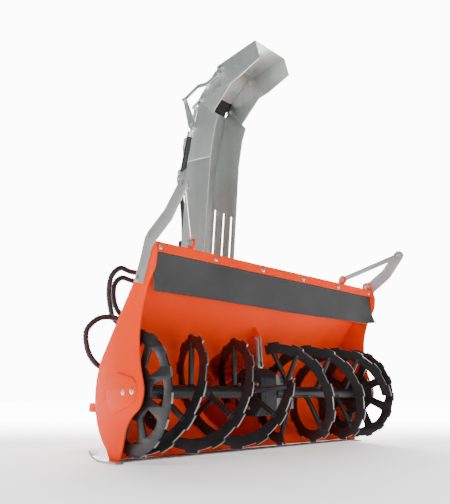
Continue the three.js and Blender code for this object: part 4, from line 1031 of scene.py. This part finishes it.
# ---------------------------------------------------------------- impeller
rotor = Piece("impeller_rotor_skin", ORANGE)
rotor.ring(hub(232), hub(442), 20.3, 44, 64, bevel=2)
rotor.ring(hub(430), hub(438), 40, 150, 96, bevel=1)
for k in range(4):
    turn = Matrix.Translation(hub(0)) @ Matrix.Rotation(-radians(28 + 90 * k), 4, "Y")
    blade = rounded(rect(40, 196, 236, 436), [0, 16, 4, 0])
    rotor.plate(blade, -5, 5, XY, bevel=1.0, matrix=turn)
    rotor.box(150, 196, 238, 434, 3, 22, 4, matrix=turn)
    for z in (5.5, -5.5):
        rotor.weld([turn @ Vector((44.5, y, z)) for y in (240, 430)], 3)
rotor.done("impeller", "impeller_rotor")
shaft = Piece("impeller_shaft_skin", STEEL)
shaft.lathe(
    [
        (0, -40), (11, -40), (11, -30), (15, -30), (15, 196), (19, 196), (20, 198), (20, 495),
        (17.5, 497), (17.5, 576), (15, 582), (0, 582)
    ],
    hub(0), REAR, 48,
)
for k in range(12):
    a = 30 * k
    x, z = radial(18.2, a, HUB)
    place = Matrix.Translation((x, 0, z)) @ Matrix.Rotation(-radians(a + 90), 4, "Y")
    shaft.box(-2, 2, 500, 570, -1.2, 1.2, 0.4, matrix=place)
shaft.done("impeller", "impeller_shaft")

# ---------------------------------------------------------------- hitch, guard, parking leg
hitch = Piece("hitch_cross_tube_skin", ORANGE)
hitch.plate(rounded(rect(515, 575, 150, 190), 5), -480, 480, bevel=0.5)
LOW_LINK = (613, 170)
LINK_PLATE = [(573, 150), (615, 140), (637, 155), (637, 185), (615, 200), (573, 190)]
for sign in (-1, 1):
    for a, b in ((378, 388), (318, 328)):
        hitch.plate(rounded(LINK_PLATE, [0, 14, 10, 10, 14, 0]), *span(sign, a, b), bevel=1)
        for x in (sign * b, sign * a):
            hitch.weld([(x, 576, 152), (x, 576, 188)], 3)
    hitch.bar((sign * 410, *LOW_LINK), (sign * 308, *LOW_LINK), 11, 40)
    hitch.ring((sign * 394, *LOW_LINK), (sign * 389, *LOW_LINK), 11, 19, 32, PLATED)
hitch.done("housing", "hitch_cross_tube")

mast = Piece("hitch_mast_skin", ORANGE)
POST = [
    (515, 190.3), (565, 190.3), (565, 600), (515, 600), (515, 350), (466.6, 330), (466.6, 235),
    (515, 215)
]
for x in (-150, 150):
    mast.plate(rounded(POST, [2, 2, 4, 4, 14, 3, 3, 14]), x - 6, x + 6, bevel=1)
    for offset in (-7, 7):
        mast.weld([(x + offset, 517, 191), (x + offset, 563, 191)], 3)
        mast.weld([(x + offset, 467, 237), (x + offset, 467, 328)], 3)
mast.plate(rounded(rect(515, 565, 560, 600), 5), -144, 144, bevel=0.5)
for sign in (-1, 1):
    mast.weld([(sign * 143, 516, z) for z in (562, 598)], 3)
EAR_PLATE = [(515, 560), (565, 560), (599, 596), (599, 650), (579, 668), (555, 668), (515, 620)]
for sign in (-1, 1):
    mast.plate(
        rounded(EAR_PLATE, [0, 4, 8, 14, 10, 10, 10]), *span(sign, 30, 40), bevel=1,
        holes=[circle(TOP_LINK, 10, 32)],
    )
    for x in (29, 41):
        mast.weld([(sign * x, 566, 562), (sign * x, 566, 599)], 3)
mast.done("housing", "hitch_mast")

pin = Piece("top_link_pin_skin", STEEL)
pin.bar((-62, *TOP_LINK), (62, *TOP_LINK), 9.5, 36, bevel=2)
pin.bar((-62, *TOP_LINK), (-54, *TOP_LINK), 16, 36, bevel=2)
pin.ring((48, *TOP_LINK), (51, *TOP_LINK), 9.5, 17, 32)
pin.tube([(55, y, z) for y, z in arc(TOP_LINK, 13, -40, 230, 27)], 1.8, 10)
pin.done("housing", "top_link_pin")

guard = Piece("pto_guard_skin", PLASTIC)
guard.lathe(
    [
        (22, 0), (56, 0), (58, 2), (58, 16), (56.5, 17), (58, 18), (58, 19.4), (54, 19.4), (54, 4),
        (22, 4), (22, 0)
    ],
    hub(492.6), REAR, 96,
)
guard.done("housing", "pto_guard")

socket = Piece("parking_leg_socket_skin", ORANGE)
for x0, x1 in ((-224, -220.3), (-179.7, -176)):
    socket.box(x0, x1, 575.3, 623.3, 104, 222, 1)
for y0, y1 in ((575.3, 579), (619.6, 623.3)):
    socket.box(-221, -179, y0, y1, 104, 222, 1)
socket.hex_bolt((-200, 623.3, 190), REAR, 12, thread=4)
socket.weld([(-224, 576, 152), (-224, 576, 190)], 3)
socket.done("housing", "parking_leg_socket")

leg = Piece("parking_leg_skin", GALV)
bore = rounded(rect(-217, -183, 582.3, 616.3), 3)
leg.plate(rounded(rect(-220, -180, 579.3, 619.3), 5), 6, 330, XY, [bore], 0.5)
for k in range(5):
    z = 240 + 18 * k
    leg.ring((-200, 619.1, z), (-200, 619.9, z), 5, 7.5, 24, WORN, 0.2)
leg.plate(rounded(rect(-255, -145, 554.3, 644.3), 10), 0, 8, XY, bevel=1.2)
leg.weld(
    [
        (-221, 599, 8.5), (-221, 620, 8.5), (-179, 620, 8.5), (-179, 578, 8.5), (-221, 578, 8.5),
        (-221, 599, 8.5)
    ],
    2.6
)
leg.done("leg", "parking_leg")

# ---------------------------------------------------------------- chute drive


def gear_outline(teeth, centre, phase):
    """Teeth of module 5; each flank is (height over the pitch circle, half width)."""
    flank = [(-5.6, 4.7), (-1.5, 3.7), (1.6, 2.6), (4.0, 1.7)]
    tooth = [(h, -w) for h, w in flank] + flank[::-1]
    points = []
    for t in range(teeth):
        for height, wide in tooth:
            r = 5 * teeth / 2 + height
            a = radians(phase + 360 * t / teeth) + wide / r
            points.append((centre[0] + r * cos(a), centre[1] + r * sin(a)))
    return points


ring_gear = Piece("chute_ring_gear_skin", BLACK)
bore = circle(CHUTE_AXIS, 94, 96)
ring_gear.plate(gear_outline(60, CHUTE_AXIS, 3), 523.3, 545.3, XY, [bore], 0.6)
for k in range(8):
    x, y = radial(120, 22.5 + 45 * k, CHUTE_AXIS)
    ring_gear.hex_bolt((x, y, 545.2), UP, 9)
ring_gear.done("chute", "chute_ring_gear")

drive = Piece("drive_pinion_skin", STEEL)
drive.plate(gear_outline(12, MOTOR_AXIS, 0), 524.3, 545.3, XY, bevel=0.6)
drive.bar((*MOTOR_AXIS, 515), (*MOTOR_AXIS, 553), 10, 36)
drive.done("chute_drive", "drive_pinion")

motor = Piece("chute_motor_skin", CAST)
motor.lathe(
    [
        (0, 0), (30, 0), (34, 4), (35, 30), (32, 31), (32, 36), (36, 37), (36, 60), (33, 61),
        (33, 66), (36, 67), (36, 92), (30, 99.7), (0, 99.7)
    ],
    (*MOTOR_AXIS, 414.7 + GAP), UP, 64,
)
motor.box(-232, -200, 324, 376, 422.7, 460.7, 4)
for y, z in ((338, 452), (365, 440)):
    motor.hexagon(13, (-226, y, z), (-231.8, y, z), PLATED, 1)
for k in range(4):
    x, y = radial(29, 45 + 90 * k, MOTOR_AXIS)
    motor.hex_bolt((x, y, 415.2), -UP, 8, washer=False)
motor.done("housing", "chute_motor")

# ---------------------------------------------------------------- chute
BASE_Z = 545.6


def front_y(z):
    return 254 - CHUTE_LEAN * (z - BASE_Z)


def rear_y(z):
    return 446 - CHUTE_LEAN * (z - BASE_Z)


def strip(a, b, thickness):
    along = (Vector(b) - Vector(a)).normalized()
    side = Vector((-along.y, along.x)) * thickness
    return [tuple(a), tuple(b), tuple(Vector(b) + side), tuple(Vector(a) + side)]


WALL = [
    (front_y(BASE_Z), BASE_Z), (front_y(1402), 1402), (rear_y(1438), 1438), (rear_y(BASE_Z), BASE_Z)
]
slots = []
for y, top in ((270, 1136), (332, 1172), (406, 1210)):
    lean = CHUTE_LEAN * (top - 800)
    low, high = [(y - 5.5, 800), (y + 5.5, 800)], [(y + 5.5 - lean, top), (y - 5.5 - lean, top)]
    slots.append(rounded(low + high, 5))
chute = Piece("chute_lower_skin", GALV)
chute.plate(WALL, -101, -98, bevel=0.35)
chute.plate(WALL, 98, 101, bevel=0.35, holes=slots)
chute.plate(strip((rear_y(BASE_Z), BASE_Z), (rear_y(1438), 1438), 3), -98.6, 98.6, bevel=0.3)
chute.plate(strip((front_y(740), 740), (front_y(BASE_Z), BASE_Z), 3), -98.6, 98.6, bevel=0.3)
# Folded stiffening lips along the open front edge.
for x in (-99.5, 99.5):
    chute.tube([(x, front_y(z) + 0.5, z) for z in (742, 1398)], 2.2)
CHEEK = [
    (rear_y(1333) - 1, 1333), (466, 1369), (482, 1375), (482, 1395), (466, 1401),
    (rear_y(1425) - 1, 1425)
]
for a, b in ((CYLINDER_X - 23, CYLINDER_X - 17), (CYLINDER_X + 17, CYLINDER_X + 23)):
    chute.plate(rounded(CHEEK, [0, 6, 9, 9, 6, 0]), a, b, bevel=0.8)
    for x in (a - 0.5, b + 0.5):
        chute.weld([(x, rear_y(1335) + 0.8, 1335), (x, rear_y(1423) + 0.8, 1423)], 2.4)
chute.bar((CYLINDER_X - 28, *LOW_PIN), (CYLINDER_X + 28, *LOW_PIN), 6, 24)
for x, out in ((CYLINDER_X - 26, -1), (CYLINDER_X + 26, 1)):
    chute.hexagon(9.5, (x - out * 2.6, *LOW_PIN), (x + out * 4, *LOW_PIN), PLATED, 0.7)
for x in (-101.4, 101.4):
    chute.weld([(x, front_y(1402) + 1, 1402), (x, rear_y(1438) - 1, 1438)], 1.5, 5.5)
chute.weld([(x, rear_y(1438) + 0.4, 1438.2) for x in (-97, 97)], 1.7)
for sign in (-1, 1):
    chute.plate(rect(254, 446, BASE_Z, BASE_Z + 5), *span(sign, 90, 118))
    for y in (280, 350, 420):
        chute.hex_bolt((sign * 110, y, BASE_Z + 5), UP, 8)
chute.done("chute", "chute_lower")

UPPER = [
    (front_y(1402), 1402.5), (152, 1545), (124, 1608), (150, 1640),
    *arc(LOW_HINGE, 17, 140, -10, 12),
    (287, 1742), (rear_y(1438), 1438.5),
]
UPPER_LIP = [(front_y(1404) + 0.4, 1404), (152.5, 1545), (124.8, 1608), (150, 1639)]
upper = Piece("chute_upper_skin", GALV)
for a, b in ((-101, -98), (98, 101)):
    upper.plate(UPPER, a, b, bevel=0.35)
upper.plate(strip((rear_y(1438), 1438.5), (287, 1742), 3), -98.6, 98.6, bevel=0.3)
for sign in (-1, 1):
    upper.tube([(sign * 99.5, y, z) for y, z in UPPER_LIP], 2.0)
upper.done("chute", "chute_upper")

LOW_WALL = [
    (264, 1744), (163, 1640), (0, 1764), (60, 1878), (82, 1891), (118, 1891), (278, 1776),
    (282, 1764)
]
low = Piece("deflector_lower_skin", GALV)
for sign in (-1, 1):
    low.plate(rounded(LOW_WALL, [6, 4, 4, 4, 8, 8, 5, 5]), *span(sign, 101.5, 104.5), bevel=0.35)
low.plate(strip((272, 1781), (140, 1877.2), 3), -104.5, 104.5, bevel=0.3)
for sign in (-1, 1):
    low.weld([(sign * 103.6, 270, 1784), (sign * 103.6, 142, 1879)], 1.7)
LEVER = [
    (228, 1809), (196, 1832), (240, 1822), (356, 1785), (373, 1777), (374, 1766), (362, 1759),
    (300, 1772)
]
for a, b in ((CYLINDER_X - 20, CYLINDER_X - 14), (CYLINDER_X + 14, CYLINDER_X + 20)):
    low.plate(
        rounded(LEVER, [0, 0, 10, 6, 6, 6, 6, 10]), a, b, bevel=0.8,
        holes=[circle(HIGH_PIN, 5.3, 24)]
    )
    low.weld([(a - 0.6, 266, 1786), (a - 0.6, 200, 1834)], 2)
for sign in (-1, 1):
    low.hex_bolt((sign * 104.5, *LOW_HINGE), sign * RIGHT, 12, thread=4)
    low.hex_bolt((sign * 98, *LOW_HINGE), -sign * RIGHT, 12)
low.done("lower_deflector", "deflector_lower")

HIGH_WALL = [(127, 1898), (127, 1872), (77, 1744), (-42, 1752), (-185, 1785), (-157, 1898)]
high = Piece("deflector_upper_skin", GALV)
for sign in (-1, 1):
    high.plate(rounded(HIGH_WALL, [3, 10, 6, 0, 4, 3]), *span(sign, 105, 108), bevel=0.35)
high.plate(rect(84, -157, 1895, 1898), -108, 108, bevel=0.3)
for sign in (-1, 1):
    high.weld([(sign * 107, 82, 1897.6), (sign * 107, -155, 1897.6)], 1.5)
    high.hex_bolt((sign * 108, *HIGH_HINGE), sign * RIGHT, 12, thread=4 if sign > 0 else 0)
    high.hex_bolt((sign * 101.5, *HIGH_HINGE), -sign * RIGHT, 12)
    for y in (-60, -130):
        high.pan_screw((sign * 105, y, 1830), -sign * RIGHT, 5)
high.done("upper_deflector", "deflector_upper")

LINK = [
    (410, 1811), (396, 1808), (280, 1836), (212, 1818), (108, 1830), (95, 1836), (95, 1846),
    (106, 1852), (206, 1841), (278, 1860), (404, 1832), (411, 1822),
]
link = Piece("deflector_link_skin", GALV)
link.plate(rounded(LINK, [6, 6, 16, 16, 6, 5, 5, 6, 16, 16, 6, 6]), -114.3, -108.3, bevel=0.9)
for y, z in ((104, 1841), (400, 1820)):
    link.hex_bolt((-114.2, y, z), -RIGHT, 11, thread=4)
link.hex_bolt((-108.4, 400, 1820), RIGHT, 11, washer=False, height=6)
link.done("link", "deflector_link")

bracket = Piece("link_bracket_skin", GALV)
BRACKET = [
    (388, 1826), (398, 1834), (410, 1832), (413, 1820), (364, 1640), (330, 1600), (300, 1612),
    (306, 1640)
]
bracket.plate(rounded(BRACKET, [6, 7, 7, 7, 16, 14, 10, 12]), -108.3, -101.3, bevel=0.9)
for y, z in ((338, 1652), (322, 1622)):
    bracket.hex_bolt((-108.2, y, z), -RIGHT, 10)
bracket.done("chute", "link_bracket")

# ---------------------------------------------------------------- deflector cylinder
BOTTOM, TOP = Vector((CYLINDER_X, *LOW_PIN)), Vector((CYLINDER_X, *HIGH_PIN))
ALONG = (TOP - BOTTOM).normalized()


def up_cylinder(distance):
    return BOTTOM + ALONG * distance


barrel = Piece("cylinder_barrel_skin", CAST)
gland = [(10.6, 230), (18, 230), (21, 232), (21.5, 248), (21, 262), (10.6, 262), (10.6, 230)]
barrel.lathe(gland, BOTTOM, ALONG, 48, PLATED)
barrel.ring(up_cylinder(32), up_cylinder(246), 17, 21, 48)
barrel.bar(up_cylinder(30), up_cylinder(40), 19, 40)
barrel.bar(up_cylinder(14), up_cylinder(33), 10, 32)
barrel.ring((CYLINDER_X - 14, *LOW_PIN), (CYLINDER_X + 14, *LOW_PIN), 6.3, 14, 40)
for distance in (52, 236):
    port = up_cylinder(distance)
    corner = port + 46 * REAR
    barrel.bar(port + 14 * REAR, port + 26 * REAR, 12, 28)
    barrel.hexagon(11.5, port + 26 * REAR, port + 38 * REAR, PLATED, 0.8)
    barrel.bar(port + 36 * REAR, corner + 4 * REAR, 8, 24, PLATED)
    barrel.bar(corner + 8 * UP, corner - 26 * UP, 8.5, 24, PLATED)
    barrel.hexagon(12.5, corner - 8 * UP, corner - 22 * UP, PLATED, 0.8)
barrel.done("barrel", "cylinder_barrel")

rod = Piece("cylinder_rod_skin", PLATED)
length = (TOP - BOTTOM).length
rod.bar(up_cylinder(100), up_cylinder(length - 8), 10, 40)
rod.ring((CYLINDER_X - 12, *HIGH_PIN), (CYLINDER_X + 12, *HIGH_PIN), 5.3, 12, 40)
rod.bar((CYLINDER_X - 22, *HIGH_PIN), (CYLINDER_X + 22, *HIGH_PIN), 5.0, 24)
for x, out in ((CYLINDER_X - 20, -1), (CYLINDER_X + 20, 1)):
    rod.hexagon(8.5, (x, *HIGH_PIN), (x + out * 6, *HIGH_PIN), None, 0.6)
rod.done("rod", "cylinder_rod")

# ---------------------------------------------------------------- seals of the deflector: a rubber seal and a galvanised lip


def seal(name, material, points, start, end, wide_above):
    """A limp strip that closes the gap over a hinge."""
    path = spline([(0, *p) for p in points], 3)
    rings = []
    for p, (along, _, _) in zip(path, turned_normals(path)):
        up = Vector((0, -along.z, along.y)) * 1.6
        half = 97.4 + 3.6 * min(1.0, max(0.0, (p.z - wide_above) / 8))
        across = [half * (k / 6 - 1) * RIGHT for k in range(13)]
        rings.append([p - up + x for x in across] + [p + up + x for x in reversed(across)])
    built = Piece(name, material).loft(rings).build()
    metres((0, *start))
    metres((0, *end))
    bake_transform(built)


seal(
    "chute_hinge_seal",
    SEAL,
    [(299, 1712), (293, 1738), (284, 1764), (262, 1785), (236, 1804)],
    (293, 1738), (262, 1785),
    1772,
)
seal(
    "deflector_hinge_lip",
    GALV,
    [(180, 1845), (150, 1867), (122, 1884), (92, 1892.4), (60, 1893)],
    (150, 1867), (92, 1892.4),
    1700,
)

# ---------------------------------------------------------------- hoses, their holder and clamp
COUPLER_X, COUPLER_Y = -292, 552
COUPLER_Z = (590, 545, 330, 385)
holder = Piece("hose_holder_skin", ORANGE)
holder.plate(rounded(rect(525, 575, 190.3, 615), [2, 2, 8, 8]), -262, -254, bevel=1)
holder.weld([(-263, 527, 191), (-263, 573, 191)], 3)
for z in COUPLER_Z:
    for x0, x1, radius in ((-268, -262, 17), (-254, -248, 17)):
        holder.hexagon(radius, (x0, COUPLER_Y, z), (x1, COUPLER_Y, z), PLATED, 1)
    holder.bar((-248, COUPLER_Y, z), (-216, COUPLER_Y, z), 12.5, 36, STEEL)
    holder.ring((-240, COUPLER_Y, z), (-226, COUPLER_Y, z), 11, 15, 40, PLATED, 1.5)
    holder.bar((-216.5, COUPLER_Y, z), (-215, COUPLER_Y, z), 8, 24, CAST)
    holder.bar((-276, COUPLER_Y, z), (-266, COUPLER_Y, z), 12, 32, PLATED)
    holder.ring((-292, COUPLER_Y, z), (-274, COUPLER_Y, z), 10, 14.6, 36, PLATED, 1)
holder.done("housing", "hose_holder")

CLAMP_Y = rear_y(960) + GAP
clamp = Piece("hose_clamp_skin", PLASTIC)
clamp.box(-92, -18, CLAMP_Y, CLAMP_Y + 40, 960, 1010, 5, segments=3)
clamp.box(-93, -17, CLAMP_Y + 18.8, CLAMP_Y + 21.2, 959.5, 1010.5, 0.5, CAST)
clamp.hex_bolt((-54, CLAMP_Y + 40, 985), REAR, 10)
clamp.done("chute", "hose_clamp")


def wound_guard(points, piece):
    """A flat plastic ribbon wound round a hose along its route."""
    step, bare_end, lead = 1.25, 44, 15
    fine = spline(points, step)
    skip = int(bare_end / step)
    rings = []
    for i, (tangent, normal, side) in enumerate(turned_normals(fine, skip)):
        turn = 2 * pi * i * step / lead
        out = cos(turn) * normal + sin(turn) * side
        profile = ((10.6, -5.4), (12.8, -4.8), (13.3, 0), (12.8, 4.8), (10.6, 5.4))
        rings.append([fine[skip + i] + out * r + tangent * t for r, t in profile])
    piece.loft(rings)


def hose(name, body=None, blend=None):
    """A hydraulic hose in a spiral guard, with crimped ends."""
    path = spline(HOSES[name], 6)
    length = sum((b - a).length for a, b in zip(path, path[1:]))
    tube = Piece(name + "_skin", HOSE)
    tube.tube(path, 11, 20)
    built = tube.build(40)
    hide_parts(name)
    guard = Piece(name + "_guard", PLASTIC)
    wound_guard(HOSES[name], guard)
    fitting = Piece(name + "_fittings", PLATED)
    crimp = [(0, -0.2), (11.4, 0), (12.2, 1.5), (12.2, 6), (11.5, 7), (13, 9), (13, 32), (11.6, 34)]
    for end, toward in ((path[0], path[1]), (path[-1], path[-2])):
        fitting.lathe(crimp, end, toward - end, 28)
    others = [guard.build(40), fitting.build()]
    for piece in (built, *others):
        if blend:
            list(blend[:2])
            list(map(metres, blend[2:]))
            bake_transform(piece)
        else:
            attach(piece, body)
    metres(path[0])
    [metres(p) for p in path]


LINE_Y = CLAMP_Y + 20
BELOW, ABOVE = 959.7, 1010.3
HOSES = {
    "cylinder_hose_low": [
        (-70, LINE_Y, ABOVE), (-70, LINE_Y, ABOVE + 12), (-72, 434, 1120), (-68, 452, 1220),
        (-60, 482, 1320), (CYLINDER_X, 502.1, 1385), (CYLINDER_X, 502.1, 1408),
    ],
    "cylinder_hose_high": [
        (-38, LINE_Y, ABOVE), (-38, LINE_Y, ABOVE + 12), (-22, 430, 1120), (-10, 426, 1230),
        (-8, 432, 1350), (-16, 454, 1455), (-44, 468, 1525), (CYLINDER_X, 454, 1570),
        (CYLINDER_X, 452.6, 1585),
    ],
    "swing_hose_outer": [
        (-70, LINE_Y, BELOW), (-70, LINE_Y, BELOW - 14), (-82, 438, 896), (-135, 455, 850),
        (-240, 475, 815), (-360, 470, 805), (-422, 462, 812), (-465, 460, 772), (-472, 472, 715),
        (-448, 498, 640), (-400, 532, 574), (COUPLER_X - 20, COUPLER_Y, 545),
        (COUPLER_X - GAP, COUPLER_Y, 545),
    ],
    "swing_hose_inner": [
        (-38, LINE_Y, BELOW), (-38, LINE_Y, BELOW - 14), (-48, 444, 896), (-110, 478, 828),
        (-220, 498, 784), (-330, 496, 768), (-400, 486, 771), (-432, 488, 738), (-430, 502, 696),
        (-400, 528, 640), (-350, 548, 600), (COUPLER_X - 14, COUPLER_Y, 590),
        (COUPLER_X - GAP, COUPLER_Y, 590),
    ],
    "motor_hose_outer": [
        (-232.3, 338, 452), (-246.3, 338, 452), (-300, 348, 478), (-380, 388, 540),
        (-440, 428, 564), (-521, 448, 561), (-579, 455, 502), (-561, 470, 420), (-507, 495, 366),
        (-420, 535, 338), (COUPLER_X - 20, COUPLER_Y, 330), (COUPLER_X - GAP, COUPLER_Y, 330),
    ],
    "motor_hose_inner": [
        (-232.3, 365, 440), (-246.3, 365, 440), (-300, 384, 440), (-350, 436, 430),
        (-366, 492, 412), (-350, 534, 394), (COUPLER_X - 14, COUPLER_Y, 385),
        (COUPLER_X - GAP, COUPLER_Y, 385),
    ],
}
hose("cylinder_hose_low", blend=("chute", "barrel", (-72, 434, 1120), (-58, 502.1, 1370)))
hose("cylinder_hose_high", blend=("chute", "barrel", (-18, 430, 1150), (-52, 462, 1545)))
hose("swing_hose_outer", blend=("housing", "chute", (-400, 532, 574), (-82, 438, 896)))
hose("swing_hose_inner", blend=("housing", "chute", (-350, 548, 600), (-48, 444, 896)))
hose("motor_hose_outer", body="housing")
hose("motor_hose_inner", body="housing")

# ---------------------------------------------------------------- what stays of the CAD
CAD_SLOTS = {part["node"]: part["material_slot"] for part in frame["record"]["subparts"]}
for node_name, node in frame["nodes"].items():
    node.data.materials.clear()
    node.data.materials.append(SLOT_MATERIAL[CAD_SLOTS[node_name]])

# ---------------------------------------------------------------- studio
floor_mesh = bpy.data.meshes.new("floor")
half = 14.0
corners = [(-half, -half, 0), (half, -half, 0), (half, half, 0), (-half, half, 0)]
floor_mesh.from_pydata(corners, [], [(0, 1, 2, 3)])
floor = bpy.data.objects.new("floor", floor_mesh)
SCENE.collection.objects.link(floor)
floor.location.z = -0.0006
floor_material, n, coord = new_material("studio_floor")
n.surface({
    "Base Color": (0.95, 0.95, 0.95),
    "Roughness": 0.9,
    "Specular IOR Level": 0.1,
    "Emission Color": (1.0, 1.0, 1.0),
    "Emission Strength": n.ramp(n.along(coord, (0.67, 0.742, 0.0)), 0.4, 2.6, 0.7, 12.0),
})
floor_mesh.materials.append(floor_material)

# A white backdrop, bright only behind the machine, as in a studio.
world = bpy.data.worlds.new("studio")
SCENE.world = world
world.use_nodes = True
n = Nodes(world.node_tree)
coord = n.add("ShaderNodeTexCoord", {}).outputs["Generated"]
light = n.ramp(n.along(coord, (0.646, 0.716, 0.265)), 0.66, 0.81, 0.08, 12.0)
n.feed(world.node_tree.nodes["Background"].inputs, {"Color": (1.0, 1.0, 1.0), "Strength": light})


def area_light(name, location, target, size, energy):
    light = bpy.data.lights.new(name, "AREA")
    light.size = size
    light.energy = energy
    holder = bpy.data.objects.new(name, light)
    SCENE.collection.objects.link(holder)
    holder.location = location
    holder.rotation_euler = (Vector(target) - Vector(location)).to_track_quat("-Z", "Y").to_euler()


area_light("key", (-1.4, -3.4, 3.2), (0.1, 0, 0.5), 2.2, 62)
area_light("side", (-3.9, -1.0, 2.4), (-0.2, 0.2, 0.8), 2.0, 75)

camera = bpy.data.cameras.new("camera")
camera.sensor_width = 36
camera.lens = 519.21 * camera.sensor_width / 504
viewpoint = bpy.data.objects.new("camera", camera)
SCENE.collection.objects.link(viewpoint)
viewpoint.location = (-1.67265, -1.67239, 0.22654)
viewpoint.rotation_euler = (pi / 2 + 0.268, 0, -0.734)
SCENE.camera = viewpoint
